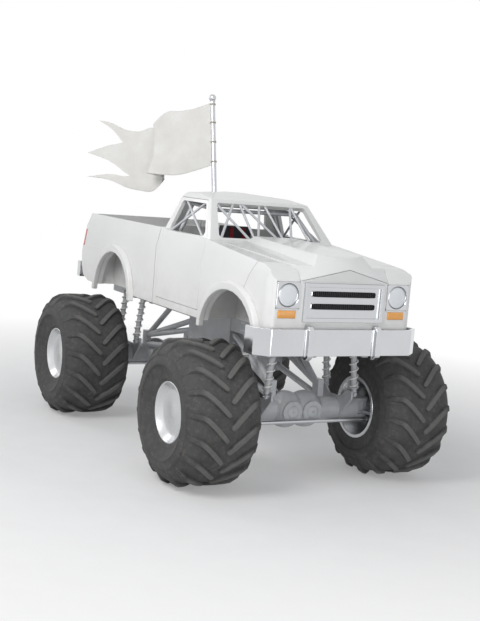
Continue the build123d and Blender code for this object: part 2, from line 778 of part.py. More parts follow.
def frame():
    """Two rails, cross members, damper towers and the middle cradle."""
    bottom = RAIL_TOP_Z - RAIL_HEIGHT
    inner_y = RAIL_OUTER_Y - RAIL_WIDTH
    front_x = BUMPER_FRONT_X - BUMPER_THICK
    pieces = []
    for side in (-1, 1):
        y_low, y_high = sorted((side * inner_y, side * RAIL_OUTER_Y))
        pieces.append(box(RAIL_REAR_X, front_x, y_low, y_high, bottom, RAIL_TOP_Z))
        plate_low, plate_high = sorted((side * RAIL_OUTER_Y, side * (RAIL_OUTER_Y + CRADLE_PLATE)))
        plate = (
            (CRADLE_REAR_X, CRADLE_FLOOR_Z),
            (CRADLE_REAR_X + CRADLE_LENGTH, CRADLE_FLOOR_Z),
            (CRADLE_REAR_X + CRADLE_LENGTH, RAIL_TOP_Z),
            (CRADLE_REAR_X, RAIL_TOP_Z),
        )
        pieces.append(side_prism(plate, plate_low, plate_high))
        for axle_x in (FRONT_AXLE_X, REAR_AXLE_X):
            for sign in (-1, 1):
                tower_x = axle_x + sign * DAMPER_OFFSET_X
                tower_y = side * (RAIL_OUTER_Y + TOWER_THICK)
                low, high = sorted((side * RAIL_OUTER_Y, tower_y))
                pieces.append(
                    box(
                        tower_x - TOWER_WIDTH / 2,
                        tower_x + TOWER_WIDTH / 2,
                        low,
                        high,
                        bottom,
                        DAMPER_TOP_Z + TOWER_WIDTH / 2,
                    )
                )
                pin_start = (tower_x, tower_y, DAMPER_TOP_Z)
                pin_end = (tower_x, side * (DAMPER_TOP_Y + DAMPER_PIN_REACH), DAMPER_TOP_Z)
                pieces.append(bar(pin_start, pin_end, DAMPER_PIN_RADIUS, 6))
        bracket_x = RAIL_REAR_X
        pieces.append(box(bracket_x, bracket_x + 50, y_low, y_high, bottom, REAR_BUMPER_TOP_Z - 40))
    cross_places = (
        FRONT_AXLE_X + 560,
        FRONT_AXLE_X - 120,
        FRONT_AXLE_X - 750,
        REAR_AXLE_X + 700,
        REAR_AXLE_X - 120,
        REAR_AXLE_X - 800,
    )
    for cross_x in cross_places:
        pieces.append(
            box(cross_x - CROSS_WIDTH / 2, cross_x + CROSS_WIDTH / 2, -inner_y, inner_y, bottom, RAIL_TOP_Z)
        )
    floor_half = RAIL_OUTER_Y + CRADLE_PLATE
    pieces.append(
        box(
            CRADLE_REAR_X,
            CRADLE_REAR_X + CRADLE_LENGTH,
            -floor_half,
            floor_half,
            CRADLE_FLOOR_Z - CRADLE_PLATE,
            CRADLE_FLOOR_Z,
        )
    )
    for x_low in (CRADLE_REAR_X, CRADLE_REAR_X + CRADLE_LENGTH - CRADLE_PLATE):
        pieces.append(
            box(x_low, x_low + CRADLE_PLATE, -RAIL_OUTER_Y, RAIL_OUTER_Y, CRADLE_FLOOR_Z, bottom)
        )
    whole = joined(pieces)
    for start, finish in shaft_lines():
        whole = whole - bar(start, finish, SHAFT_HOLE_RADIUS)
    return whole


# Body shell

def body_outline():
    """Side outline of the whole lower body, as (x, z)."""
    return (
        (TAIL_FOOT_X, BODY_FLOOR_Z),
        (TAIL_X + 110, BODY_FLOOR_Z + 67),
        (TAIL_X + 20, BODY_FLOOR_Z + 217),
        (TAIL_X, TAIL_BELLY_Z),
        (TAIL_TOP_X, RAIL_Z),
        (CAB_REAR_X, RAIL_Z),
        (COWL_X, COWL_Z),
        (NOSE_X - 200, NOSE_TOP_Z),
        (NOSE_X - 60, NOSE_TOP_Z - 45),
        (NOSE_X, NOSE_FRONT_Z),
        (NOSE_X, BODY_FLOOR_Z),
    )


def crease_cutter():
    """Wedge above the left side's crease, which leans the upper side inwards."""
    lean = (BODY_HALF_WIDTH - BELT_HALF_WIDTH) / (RAIL_Z - CREASE_TAIL_Z)
    top = RAIL_Z + CUT_MARGIN
    rows = []
    for x, crease in ((TAIL_X - CUT_MARGIN, CREASE_TAIL_Z), (NOSE_X + CUT_MARGIN, CREASE_NOSE_Z)):
        rows.append(
            (
                (x, BODY_HALF_WIDTH, crease),
                (x, BODY_HALF_WIDTH + CUT_MARGIN, crease),
                (x, BODY_HALF_WIDTH + CUT_MARGIN, top),
                (x, BODY_HALF_WIDTH - lean * (top - crease), top),
            )
        )
    return skin(rows)


def lower_body():
    """Outer volume of the lower body."""
    whole = side_prism(body_outline(), -BODY_HALF_WIDTH, BODY_HALF_WIDTH)
    cutter = crease_cutter()
    whole = whole - cutter - mirrored(cutter)
    corners = whole.edges().filter_by(Axis.Z).group_by(Axis.X)[-1]
    return fillet(corners, NOSE_CORNER_RADIUS)


def roof_outline(inset=0):
    """Side outline of the greenhouse, as (x, z), pulled in by inset."""
    return (
        (CAB_REAR_X + inset, GREENHOUSE_FOOT_Z),
        (CAB_REAR_X + inset, RAIL_Z),
        (CAB_REAR_X + ROOF_REAR_SETBACK + inset, ROOF_REAR_Z - 55 - inset / 2),
        (CAB_REAR_X + ROOF_REAR_SETBACK + 70 + inset, ROOF_REAR_Z - inset),
        (COWL_X - ROOF_FRONT_SETBACK - inset, ROOF_FRONT_Z - inset),
        (COWL_X - inset, COWL_Z),
        (COWL_X - inset, GREENHOUSE_FOOT_Z),
    )


def roof_section(inset=0):
    """Front outline of the greenhouse, as (y, z), pulled in by inset."""
    half = (
        (GLASS_BASE_HALF_WIDTH - inset, GREENHOUSE_FOOT_Z),
        (ROOF_EDGE_HALF_WIDTH - inset, ROOF_EDGE_Z),
        (ROOF_SHOULDER_HALF_WIDTH - inset, ROOF_SHOULDER_Z - inset),
        (0, ROOF_TOP_Z - inset),
    )
    right = [(-y, z) for y, z in half]
    return right[:-1] + [half[-1]] + [pair for pair in reversed(half[:-1])]


def greenhouse(inset=0):
    """Volume of the cab above the belt."""
    side = side_prism(roof_outline(inset), -BODY_HALF_WIDTH, BODY_HALF_WIDTH)
    front = front_prism(roof_section(inset), CAB_REAR_X - 100, COWL_X + 100)
    return side & front


def door_outline(grow=0):
    """Left door's side outline, grown for its opening, as (x, z, y of the skin).

    The skin's y is given at the rear edge only, where the edge is bevelled.
    """
    slope = ROOF_FRONT_SETBACK / (ROOF_FRONT_Z - COWL_Z)
    front_belt = COWL_X - DOOR_BELT_SETBACK + grow
    top = DOOR_TOP_Z + grow
    return (
        (DOOR_REAR_X - grow, DOOR_SILL_Z - grow, BODY_HALF_WIDTH),
        (DOOR_FRONT_X + grow, DOOR_SILL_Z - grow, None),
        (DOOR_FRONT_X + grow, GREENHOUSE_FOOT_Z, None),
        (front_belt + slope * 10, BELT_Z + 25, None),
        (front_belt - slope * (top - COWL_Z), top, None),
        (DOOR_REAR_X + DOOR_REAR_RAKE - grow, top, ROOF_EDGE_HALF_WIDTH),
        (DOOR_REAR_X - grow, COWL_Z, BELT_HALF_WIDTH),
    )


def door_prism(grow=0):
    """Left door's outline through the wall; its rear edge is bevelled to swing clear."""
    lean = tan(radians(DOOR_REAR_BEVEL))
    rows = []
    for y in (ROOF_EDGE_HALF_WIDTH - 120, BODY_HALF_WIDTH + 20):
        row = []
        for x, z, skin_y in door_outline(grow):
            shift = 0 if skin_y is None else (skin_y - y) * lean
            row.append((x + shift, y, z))
        rows.append(row)
    return skin(rows)


def cowl_corner(gap=0):
    """Inner part of the cowl ahead of the belt, which stays with the cab when the door swings."""
    inner_y = BODY_HALF_WIDTH - WALL - gap
    return box(COWL_X - 78 + gap, COWL_X + 50, 0, inner_y, BELT_Z - 60, ROOF_TOP_Z)


def window_prism():
    """Left side window's opening, through the door."""
    slope = ROOF_FRONT_SETBACK / (ROOF_FRONT_Z - COWL_Z)
    front_belt = COWL_X - DOOR_BELT_SETBACK - WINDOW_FRAME * 1.25
    bottom = COWL_Z + 15
    top = DOOR_TOP_Z - WINDOW_FRAME
    outline = (
        (DOOR_REAR_X + WINDOW_FRAME + 15, bottom),
        (front_belt + slope * (COWL_Z - bottom), bottom),
        (front_belt - slope * (top - COWL_Z), top),
        (DOOR_REAR_X + DOOR_REAR_RAKE + WINDOW_FRAME + 15, top),
    )
    return side_prism(outline, ROOF_EDGE_HALF_WIDTH - 150, BODY_HALF_WIDTH, radius=WINDOW_RADIUS)


def hinge_axis():
    """Place of the left door's hinge axis, as (x, y)."""
    return DOOR_FRONT_X - DOOR_HINGE_INSET_X, BODY_HALF_WIDTH - DOOR_HINGE_INSET_Y


def firewall(grow=0):
    """Wall between the cab and the engine bay, grown for the doors to clear it."""
    half = BODY_HALF_WIDTH - WALL - DOOR_INNER_GAP + grow
    return box(
        DOOR_FRONT_X - 20 - grow, COWL_X + FIREWALL_REACH, -half, half, BODY_FLOOR_Z, COWL_Z + grow
    )


def cab_outer():
    """Volume of the cab's outside, doors included."""
    z_high = RAIL_Z + 50
    body = lower_body() & box(
        CAB_REAR_X, DOOR_FRONT_X + DOOR_FRONT_GAP, -WIDE, WIDE, BODY_FLOOR_Z, z_high
    )
    return joined([body, greenhouse(), firewall()])


def cab_inside():
    """Volume of the cab's inside, up to the inner faces of walls and doors."""
    half = BODY_HALF_WIDTH - WALL
    low = box(
        CAB_REAR_X + CAB_REAR_WALL, COWL_X - 33, -half, half, BODY_FLOOR_Z + CAB_FLOOR, BELT_Z - 20
    )
    return low.fuse(greenhouse(ROOF_THICK))


def windshield_plane():
    """Plane on the windshield, X across the truck and Y up the slope, and its height."""
    up = Vector(-ROOF_FRONT_SETBACK, 0, ROOF_FRONT_Z - COWL_Z)
    normal = Vector(ROOF_FRONT_Z - COWL_Z, 0, ROOF_FRONT_SETBACK)
    return Plane(origin=(COWL_X, 0, COWL_Z), x_dir=(0, 1, 0), z_dir=normal), up.length


def windshield_opening():
    plane, height = windshield_plane()
    low_half = GLASS_BASE_HALF_WIDTH - 160
    high_half = ROOF_EDGE_HALF_WIDTH - 65
    points = (
        (-low_half, 35),
        (low_half, 35),
        (high_half, height - 50),
        (-high_half, height - 50),
    )
    outline = make_face(FilletPolyline(*points, radius=WINDOW_RADIUS, close=True))
    return extrude(plane * outline, amount=160, both=True)


def rear_window_opening():
    low_half = GLASS_BASE_HALF_WIDTH - 305
    high_half = ROOF_EDGE_HALF_WIDTH - 160
    low_z = COWL_Z + 80
    high_z = ROOF_REAR_Z - 160
    points = ((-low_half, low_z), (low_half, low_z), (high_half, high_z), (-high_half, high_z))
    return front_prism(points, CAB_REAR_X - 60, CAB_REAR_X + 260)


def hinge_arms():
    """The left door's two hinge arms, each with an upright pin, carried by the door post."""
    axis_x, axis_y = hinge_axis()
    post_y = BODY_HALF_WIDTH - WALL - DOOR_INNER_GAP
    half = HINGE_ARM_HEIGHT / 2
    radius = HINGE_BOSS_RADIUS
    pieces = []
    for z in DOOR_HINGE_ZS:
        pieces.append(box(axis_x - radius, axis_x + radius, post_y - 10, axis_y, z - half, z + half))
        pieces.append(bar((axis_x, axis_y, z - half), (axis_x, axis_y, z + half), radius))
        pin_top = z + half + DOOR_PIN_REACH
        pieces.append(tube((axis_x, axis_y, z + half), (axis_x, axis_y, pin_top), DOOR_PIN_RADIUS))
    return pieces


def cab():
    """Cab shell with its floor, firewall, door posts and hinge pins."""
    shell = cab_outer() - cab_inside()
    opening = door_prism(PANEL_GAP) - firewall() - cowl_corner(DOOR_INNER_GAP)
    shell = shell - opening - mirrored(opening)
    shell = shell - windshield_opening() - rear_window_opening()
    post_high = BODY_HALF_WIDTH - WALL - DOOR_INNER_GAP
    post = box(
        DOOR_FRONT_X - 80, DOOR_FRONT_X - 20, post_high - 55, post_high, BODY_FLOOR_Z + CAB_FLOOR, BELT_Z - 20
    )
    arms = joined([post] + hinge_arms())
    return joined([shell, arms, mirrored(arms)])


def door():
    """Left door: panel, belt and window frame in one piece."""
    body = cab_outer() - cab_inside() - firewall(PANEL_GAP)
    panel = body & (door_prism() - cowl_corner())
    panel = panel - window_prism()
    axis_x, axis_y = hinge_axis()
    bevel = DOOR_FRONT_BEVEL
    corner = plan_prism(
        (
            (DOOR_FRONT_X - bevel, BODY_HALF_WIDTH),
            (DOOR_FRONT_X, BODY_HALF_WIDTH - bevel),
            (DOOR_FRONT_X + 20, BODY_HALF_WIDTH - bevel),
            (DOOR_FRONT_X + 20, BODY_HALF_WIDTH + 20),
            (DOOR_FRONT_X - bevel, BODY_HALF_WIDTH + 20),
        ),
        DOOR_SILL_Z - 10,
        RAIL_Z + 50,
    )
    panel = panel - corner
    half = HINGE_ARM_HEIGHT / 2 + PANEL_GAP
    pin_reach = half + DOOR_PIN_REACH
    for z in DOOR_HINGE_ZS:
        panel = panel - box(
            axis_x - HINGE_BOSS_RADIUS - 4,
            DOOR_FRONT_X + 10,
            BODY_HALF_WIDTH - WALL - 5,
            axis_y + HINGE_BOSS_RADIUS + 2,
            z - half,
            z + half,
        )
        bore_start = (axis_x, axis_y, z)
        bore_end = (axis_x, axis_y, z + pin_reach)
        panel = panel - tube(bore_start, bore_end, DOOR_PIN_RADIUS + RUNNING_GAP)
    return panel


def window_bars(prism, corners):
    """Crossed bars through a window, given the four corners of its middle plane."""
    bars = []
    for start, end in ((corners[0], corners[2]), (corners[1], corners[3])):
        bars.append(bar(start, end, WINDOW_BAR / 2, 6))
    return joined(bars) & prism


def door_bars():
    """Two crossed bars in the left side window."""
    slope = (GLASS_BASE_HALF_WIDTH - ROOF_EDGE_HALF_WIDTH) / (ROOF_EDGE_Z - GREENHOUSE_FOOT_Z)
    low_z = COWL_Z - 15
    high_z = DOOR_TOP_Z - WINDOW_FRAME + 30
    low_y = GLASS_BASE_HALF_WIDTH - slope * (low_z - GREENHOUSE_FOOT_Z) - ROOF_THICK / 2
    high_y = GLASS_BASE_HALF_WIDTH - slope * (high_z - GREENHOUSE_FOOT_Z) - ROOF_THICK / 2
    front = COWL_X - DOOR_BELT_SETBACK - WINDOW_FRAME
    lean = ROOF_FRONT_SETBACK / (ROOF_FRONT_Z - COWL_Z)
    corners = (
        (DOOR_REAR_X + 30, low_y, low_z),
        (front - 90, low_y, low_z),
        (front - lean * (high_z - COWL_Z), high_y, high_z),
        (DOOR_REAR_X + 110, high_y, high_z),
    )
    return window_bars(window_prism(), corners)


def save_cab():
    save("cab", cab())
    door_shape = door()
    bars_shape = door_bars()
    save("door_left", door_shape)
    save("door_right", mirrored(door_shape))
    save("window_bars_left", bars_shape)
    save("window_bars_right", mirrored(bars_shape))


# Front end: fenders, nose panel, hood, grille and lamps

def chevron_z(y):
    """Height of the hood lip's lower edge at a distance from the middle."""
    fall = (HOOD_PEAK_Z - NOSE_FRONT_Z) / (HOOD_FRONT_HALF_WIDTH - 30)
    return HOOD_PEAK_Z - fall * abs(y)


def above_chevron(lift=0):
    """Space above the hood's lip line, right through the front end."""
    outline = (
        (-WIDE, chevron_z(WIDE) + lift),
        (0, chevron_z(0) + lift),
        (WIDE, chevron_z(WIDE) + lift),
        (WIDE, ROOF_TOP_Z),
        (-WIDE, ROOF_TOP_Z),
    )
    return front_prism(outline, COWL_X - 50, NOSE_X + CUT_MARGIN)


def hood_block(drop=0, narrow=0):
    """Volume under the hood's top surface, lowered and narrowed for its inside."""
    rows = (
        # x, half width, edge height, bulge top height
        (HOOD_HINGE_X - HOOD_HINGE_INSET, HOOD_REAR_HALF_WIDTH, COWL_Z, COWL_Z + HOOD_BULGE_HEIGHT),
        (
            NOSE_X - HOOD_CREASE_SETBACK,
            HOOD_FRONT_HALF_WIDTH,
            NOSE_TOP_Z + 10,
            NOSE_TOP_Z + 60 + HOOD_BULGE_HEIGHT,
        ),
        (NOSE_X + HOOD_BLOCK_REACH, HOOD_LIP_HALF_WIDTH, NOSE_TOP_Z - 30, NOSE_TOP_Z + HOOD_BULGE_HEIGHT),
    )
    sections = []
    for x, half, edge_z, bulge_z in rows:
        half = half - narrow
        bulge = HOOD_BULGE_HALF_WIDTH - narrow * 0.5
        shoulder = bulge + HOOD_BULGE_SLOPE
        low_z = edge_z - CUT_MARGIN if drop else edge_z - HOOD_SKIRT
        right = (
            (x, -half, low_z),
            (x, -half, edge_z - drop),
            (x, -shoulder, edge_z + 8 - drop),
            (x, -bulge, bulge_z - drop),
        )
        sections.append(right + tuple((x, -y, z) for x, y, z in reversed(right)))
    return skin(sections)


def nose_cut(back=0):
    """Space ahead of the hood's two sloping nose faces, moved back for the inside."""
    cuts = []
    for side in (-1, 1):
        peak = Vector(HOOD_PEAK_X - back, 0, HOOD_PEAK_Z)
        lip = Vector(HOOD_LIP_X - back, side * (HOOD_FRONT_HALF_WIDTH - 30), NOSE_FRONT_Z)
        crease = Vector(NOSE_X - 140 - back, side * HOOD_FRONT_HALF_WIDTH, NOSE_TOP_Z + 10)
        normal = (lip - crease).cross(peak - crease).normalized()
        if normal.X < 0:
            normal = normal * -1
        plane = Plane(origin=peak, z_dir=normal)
        cuts.append(plane * Pos(0, 0, 500) * Box(3000, 3000, 1000))
    return cuts


def hood():
    """Hood tray with a raised middle and a pointed, sloping nose."""
    outer = hood_block()
    half = HOOD_FRONT_HALF_WIDTH
    nose = box(NOSE_X - 260, NOSE_X + 140, -half, half, NOSE_FRONT_Z, NOSE_TOP_Z)
    outer = outer.fuse(nose & hood_block(1, 0))
    for cut in nose_cut():
        outer = outer - cut
    inner = hood_block(HOOD_THICK, HOOD_SKIRT_THICK)
    for cut in nose_cut(45):
        inner = inner - cut
    inner = inner - box(0, HOOD_HINGE_X + 20, -WIDE, WIDE, 0, ROOF_TOP_Z)
    rear_x = HOOD_HINGE_X - HOOD_HINGE_INSET
    scoop = (
        (rear_x, COWL_Z + 8),
        (rear_x + HOOD_BULGE_RAKE, COWL_Z + HOOD_BULGE_HEIGHT),
        (rear_x + HOOD_BULGE_RAKE, ROOF_TOP_Z),
        (rear_x - CUT_MARGIN, ROOF_TOP_Z),
        (rear_x - CUT_MARGIN, COWL_Z + 8),
    )
    shape = (outer - inner) & above_chevron(PANEL_GAP)
    shape = shape - side_prism(scoop, -WIDE, WIDE)
    for side in (-1, 1):
        start = (HOOD_HINGE_X, side * (HOOD_REAR_HALF_WIDTH + 10), HOOD_HINGE_Z)
        end = (HOOD_HINGE_X, side * (HOOD_REAR_HALF_WIDTH - HOOD_PIN_REACH - 4), HOOD_HINGE_Z)
        shape = shape - tube(start, end, HOOD_PIN_RADIUS + RUNNING_GAP)
    return shape


def front_space():
    """Inside of the front end, below its top panels and behind its front wall."""
    outline = (
        (COWL_X - 60, BODY_FLOOR_Z - 20),
        (COWL_X - 60, COWL_Z - HOOD_THICK),
        (NOSE_X - 215, NOSE_TOP_Z - HOOD_THICK),
        (NOSE_X - 90, NOSE_TOP_Z - 45 - HOOD_THICK),
        (NOSE_X - NOSE_WALL, NOSE_FRONT_Z - 20),
        (NOSE_X - NOSE_WALL, BODY_FLOOR_Z - 20),
    )
    half = BODY_HALF_WIDTH - WALL
    return side_prism(outline, -half, half)


def fender_region():
    """Side outline of the fender, ahead of the door and behind the slanting nose seam."""
    arch_x = FRONT_AXLE_X + FRONT_ARCH_OFFSET
    outline = (
        (DOOR_FRONT_X + DOOR_FRONT_GAP, BODY_FLOOR_Z - 90),
        (arch_x + NOSE_SEAM_FOOT, BODY_FLOOR_Z - 90),
        (arch_x + NOSE_SEAM_FOOT, NOSE_SEAM_LOW_Z),
        (arch_x + NOSE_SEAM_TOP, NOSE_SEAM_HIGH_Z),
        (arch_x + NOSE_SEAM_TOP, RAIL_Z + 130),
        (DOOR_FRONT_X + DOOR_FRONT_GAP, RAIL_Z + 130),
    )
    return outline


def hood_space():
    """What is cut away for the hood, its running gap and the slot behind it."""
    half = (
        (COWL_X - HOOD_SLOT, HOOD_REAR_HALF_WIDTH + PANEL_GAP),
        (HOOD_HINGE_X - HOOD_HINGE_INSET, HOOD_REAR_HALF_WIDTH + PANEL_GAP),
        (NOSE_X - HOOD_CREASE_SETBACK, HOOD_FRONT_HALF_WIDTH + PANEL_GAP),
        (NOSE_X + HOOD_BLOCK_REACH, HOOD_LIP_HALF_WIDTH + PANEL_GAP),
    )
    outline = half + tuple((x, -y) for x, y in reversed(half))
    return plan_prism(outline, SHELF_Z - 20, ROOF_TOP_Z) & above_chevron()


def fenders():
    """Both front fenders, each with its inner wall, shelf and the hood's hinge pin."""
    region = side_prism(fender_region(), -WIDE, WIDE)
    arch_x = FRONT_AXLE_X + FRONT_ARCH_OFFSET
    shell = (lower_body() & region) - front_space() - hood_space()
    shell = shell - ellipse_arch(arch_x, FRONT_ARCH_INNER, -WIDE, WIDE) - firewall() - greenhouse()
    pieces = []
    left_skin = shell & box(0, NOSE_X, RAIL_OUTER_Y, WIDE, 0, ROOF_TOP_Z)
    firewall_x = COWL_X + FIREWALL_REACH
    apron_outer = RAIL_OUTER_Y + 55
    apron_inner = apron_outer - APRON_THICK
    seam_x = arch_x + NOSE_SEAM_FOOT
    end_x = NOSE_X - NOSE_FOOT
    pieces.append(left_skin)
    shelf_y = BODY_HALF_WIDTH - WALL
    shelf_top = SHELF_Z + APRON_THICK
    pieces.append(box(firewall_x, seam_x, apron_inner, shelf_y + 5, SHELF_Z, shelf_top))
    pieces.append(box(seam_x, end_x, apron_inner, shelf_y - 10, SHELF_Z, shelf_top))
    pieces.append(box(firewall_x, end_x, apron_inner, apron_outer, RAIL_TOP_Z, SHELF_Z))
    pieces.append(
        box(firewall_x, end_x, RAIL_OUTER_Y - 60, apron_outer, RAIL_TOP_Z, RAIL_TOP_Z + APRON_THICK)
    )
    pin_start = (HOOD_HINGE_X, HOOD_REAR_HALF_WIDTH + 20, HOOD_HINGE_Z)
    pin_end = (HOOD_HINGE_X, HOOD_REAR_HALF_WIDTH - HOOD_PIN_REACH, HOOD_HINGE_Z)
    pieces.append(tube(pin_start, pin_end, HOOD_PIN_RADIUS))
    left = joined(pieces)
    for sign in (-1, 1):
        tower_x = FRONT_AXLE_X + sign * DAMPER_OFFSET_X
        half = TOWER_WIDTH / 2 + 5
        left = left - box(
            tower_x - half,
            tower_x + half,
            RAIL_OUTER_Y - 5,
            apron_outer + 5,
            RAIL_TOP_Z - 5,
            DAMPER_TOP_Z + half,
        )
    return both_sides(left)


def nose_panel():
    """Front corners, lamp panels and grille surround, with the header under the hood."""
    region = box(FRONT_AXLE_X, NOSE_X + 5, -WIDE, WIDE, BODY_FLOOR_Z, ROOF_TOP_Z)
    behind = side_prism(fender_region(), -WIDE, WIDE)
    arch_x = FRONT_AXLE_X + FRONT_ARCH_OFFSET
    shell = (lower_body() & region) - front_space()
    shell = shell - Pos(PANEL_GAP, 0, 0) * behind
    shell = shell - ellipse_arch(arch_x, FRONT_ARCH_INNER, -WIDE, WIDE)
    header = front_prism(
        (
            (-HOOD_LIP_HALF_WIDTH, NOSE_FRONT_Z - 60),
            (HOOD_LIP_HALF_WIDTH, NOSE_FRONT_Z - 60),
            (HOOD_LIP_HALF_WIDTH, NOSE_FRONT_Z),
            (0, HOOD_PEAK_Z),
            (-HOOD_LIP_HALF_WIDTH, NOSE_FRONT_Z),
        ),
        NOSE_X - NOSE_WALL,
        HOOD_PEAK_X,
    )
    slope = atan2(HOOD_PEAK_X - NOSE_X - 10, HOOD_PEAK_Z - NOSE_FRONT_Z)
    face = Plane(
        origin=(NOSE_X + 5, 0, NOSE_FRONT_Z - 20), x_dir=(0, 1, 0), z_dir=(cos(slope), 0, -sin(slope))
    )
    header = header - face * Pos(0, 0, 300) * Box(3 * WIDE, 2 * WIDE, 600)
    shell = shell - hood_space()
    shell = shell.fuse(header)
    foot_half = BODY_HALF_WIDTH - 120
    foot_top = BODY_FLOOR_Z + APRON_THICK
    shell = shell.fuse(box(NOSE_X - NOSE_FOOT, NOSE_X, -foot_half, foot_half, BODY_FLOOR_Z, foot_top))
    half = GRILLE_HALF_WIDTH
    shell = shell - box(NOSE_X - 200, NOSE_X + 200, -half, half, GRILLE_BOTTOM_Z, GRILLE_TOP_Z)
    for side in (-1, 1):
        y = side * LAMP_Y
        half = LAMP_BEZEL / 2
        shell = shell - box(NOSE_X - 100, NOSE_X + 50, y - half, y + half, LAMP_Z - half, LAMP_Z + half)
        wide = INDICATOR_WIDTH / 2
        shell = shell - box(NOSE_X - 100, NOSE_X + 50, y - wide, y + wide, INDICATOR_BOTTOM_Z, INDICATOR_TOP_Z)
    return shell


def grille():
    """Chrome surround with a slotted panel set back inside it."""
    front = NOSE_X + GRILLE_PROUD
    back = NOSE_X - NOSE_WALL
    half = GRILLE_HALF_WIDTH
    whole = box(back, front, -half, half, GRILLE_BOTTOM_Z, GRILLE_TOP_Z)
    border = GRILLE_BORDER
    low_z = GRILLE_BOTTOM_Z + border
    high_z = GRILLE_TOP_Z - border
    whole = whole - box(front - GRILLE_RECESS, front + 5, -half + border, half - border, low_z, high_z)
    height = GRILLE_TOP_Z - GRILLE_BOTTOM_Z
    for share in GRILLE_SLOT_SHARES:
        z = GRILLE_BOTTOM_Z + share * height
        slot = GRILLE_SLOT_HEIGHT / 2
        whole = whole - box(back - 5, front + 5, -half + border + 60, half - border - 60, z - slot, z + slot)
    return whole


def headlamps():
    """Square bezels, each with a round lamp set in a ring-shaped groove."""
    half = LAMP_BEZEL / 2
    front = NOSE_X + LAMP_PROUD
    spots = [(front + reach, LAMP_Y, LAMP_Z) for reach in (-40, -30, -8, 5)]
    groove = bar(spots[1], spots[3], LAMP_RADIUS + LAMP_GROOVE, LAMP_SIDES)
    glass = bar(spots[0], spots[2], LAMP_RADIUS, LAMP_SIDES)
    lamp = box(NOSE_X - 90, front, LAMP_Y - half, LAMP_Y + half, LAMP_Z - half, LAMP_Z + half)
    return both_sides((lamp - groove).fuse(glass))


def indicators():
    wide = INDICATOR_WIDTH / 2
    front = NOSE_X + LAMP_PROUD
    low_z = INDICATOR_BOTTOM_Z
    return both_sides(box(NOSE_X - 60, front, LAMP_Y - wide, LAMP_Y + wide, low_z, INDICATOR_TOP_Z))


def front_bumper():
    """Wrap-round bumper with two upright guards that taper to their rounded ends."""
    face = BUMPER_FRONT_X
    half = BUMPER_HALF_WIDTH
    thick = BUMPER_THICK
    outer = (
        (face - BUMPER_SIDE, -half),
        (face - BUMPER_CORNER, -half),
        (face, -half + BUMPER_CORNER + 20),
        (face, half - BUMPER_CORNER - 20),
        (face - BUMPER_CORNER, half),
        (face - BUMPER_SIDE, half),
    )
    inner = (
        (face - BUMPER_SIDE - 70, -half + thick),
        (face - BUMPER_CORNER - 15, -half + thick),
        (face - thick, -half + BUMPER_CORNER + 42),
        (face - thick, half - BUMPER_CORNER - 42),
        (face - BUMPER_CORNER - 15, half - thick),
        (face - BUMPER_SIDE - 70, half - thick),
    )
    shape = plan_prism(outer, BUMPER_BOTTOM_Z, BUMPER_TOP_Z) - plan_prism(
        inner, BUMPER_BOTTOM_Z - 5, BUMPER_TOP_Z + 5
    )
    guard_outline = (
        (face - thick, GUARD_BOTTOM_Z),
        (face, GUARD_BOTTOM_Z),
        (FRONT_END_X, GUARD_BOTTOM_Z + GUARD_TAPER),
        (FRONT_END_X, GUARD_TOP_Z - GUARD_TAPER),
        (face, GUARD_TOP_Z),
        (face - thick, GUARD_TOP_Z),
    )
    guard = side_prism(guard_outline, GUARD_Y - GUARD_WIDTH / 2, GUARD_Y + GUARD_WIDTH / 2)
    return joined([shape] + both_sides(guard))


def rear_bumper():
    back = REAR_END_X
    front = REAR_END_X + REAR_BUMPER_DEPTH
    half = REAR_BUMPER_HALF_WIDTH
    outline = (
        (front, -half),
        (back + 60, -half),
        (back, -half + 90),
        (back, half - 90),
        (back + 60, half),
        (front, half),
    )
    return plan_prism(outline, REAR_BUMPER_BOTTOM_Z, REAR_BUMPER_TOP_Z)


def flares():
    """Four arch lips on the outside of the body, their outer edges sloping inwards."""
    shapes = []
    rows = (
        # arch centre, outer half-axes, inner half-axes
        (FRONT_AXLE_X + FRONT_ARCH_OFFSET, FRONT_ARCH_OUTER, FRONT_ARCH_INNER),
        (REAR_AXLE_X + REAR_ARCH_OFFSET, REAR_ARCH_OUTER, REAR_ARCH_INNER),
    )
    y_low = BODY_HALF_WIDTH
    y_high = BODY_HALF_WIDTH + ARCH_FLARE
    for arch_x, outer_axes, inner_axes in rows:
        edges = []
        for y, scale in ((y_low, 1), (y_high, ARCH_TAPER)):
            edges.append([(x, y, z) for x, z in arch_points(arch_x, outer_axes, scale)])
        ring = skin(edges) - ellipse_arch(arch_x, inner_axes, y_low - 5, y_high + 5)
        upper = box(arch_x - 900, arch_x + 900, y_low - 10, y_high + 10, ARCH_BASE_Z, ROOF_TOP_Z)
        shapes += both_sides(ring & upper)
    return shapes


def save_front_end():
    save("fenders", fenders())
    save("nose_panel", nose_panel())
    save("hood", hood())
    save("grille", grille())
    save("front_lamps", headlamps() + indicators())
    save("front_bumper", front_bumper())
    save("rear_bumper", rear_bumper())
    save("wheel_flares", flares())


# Cargo bed and tailgate

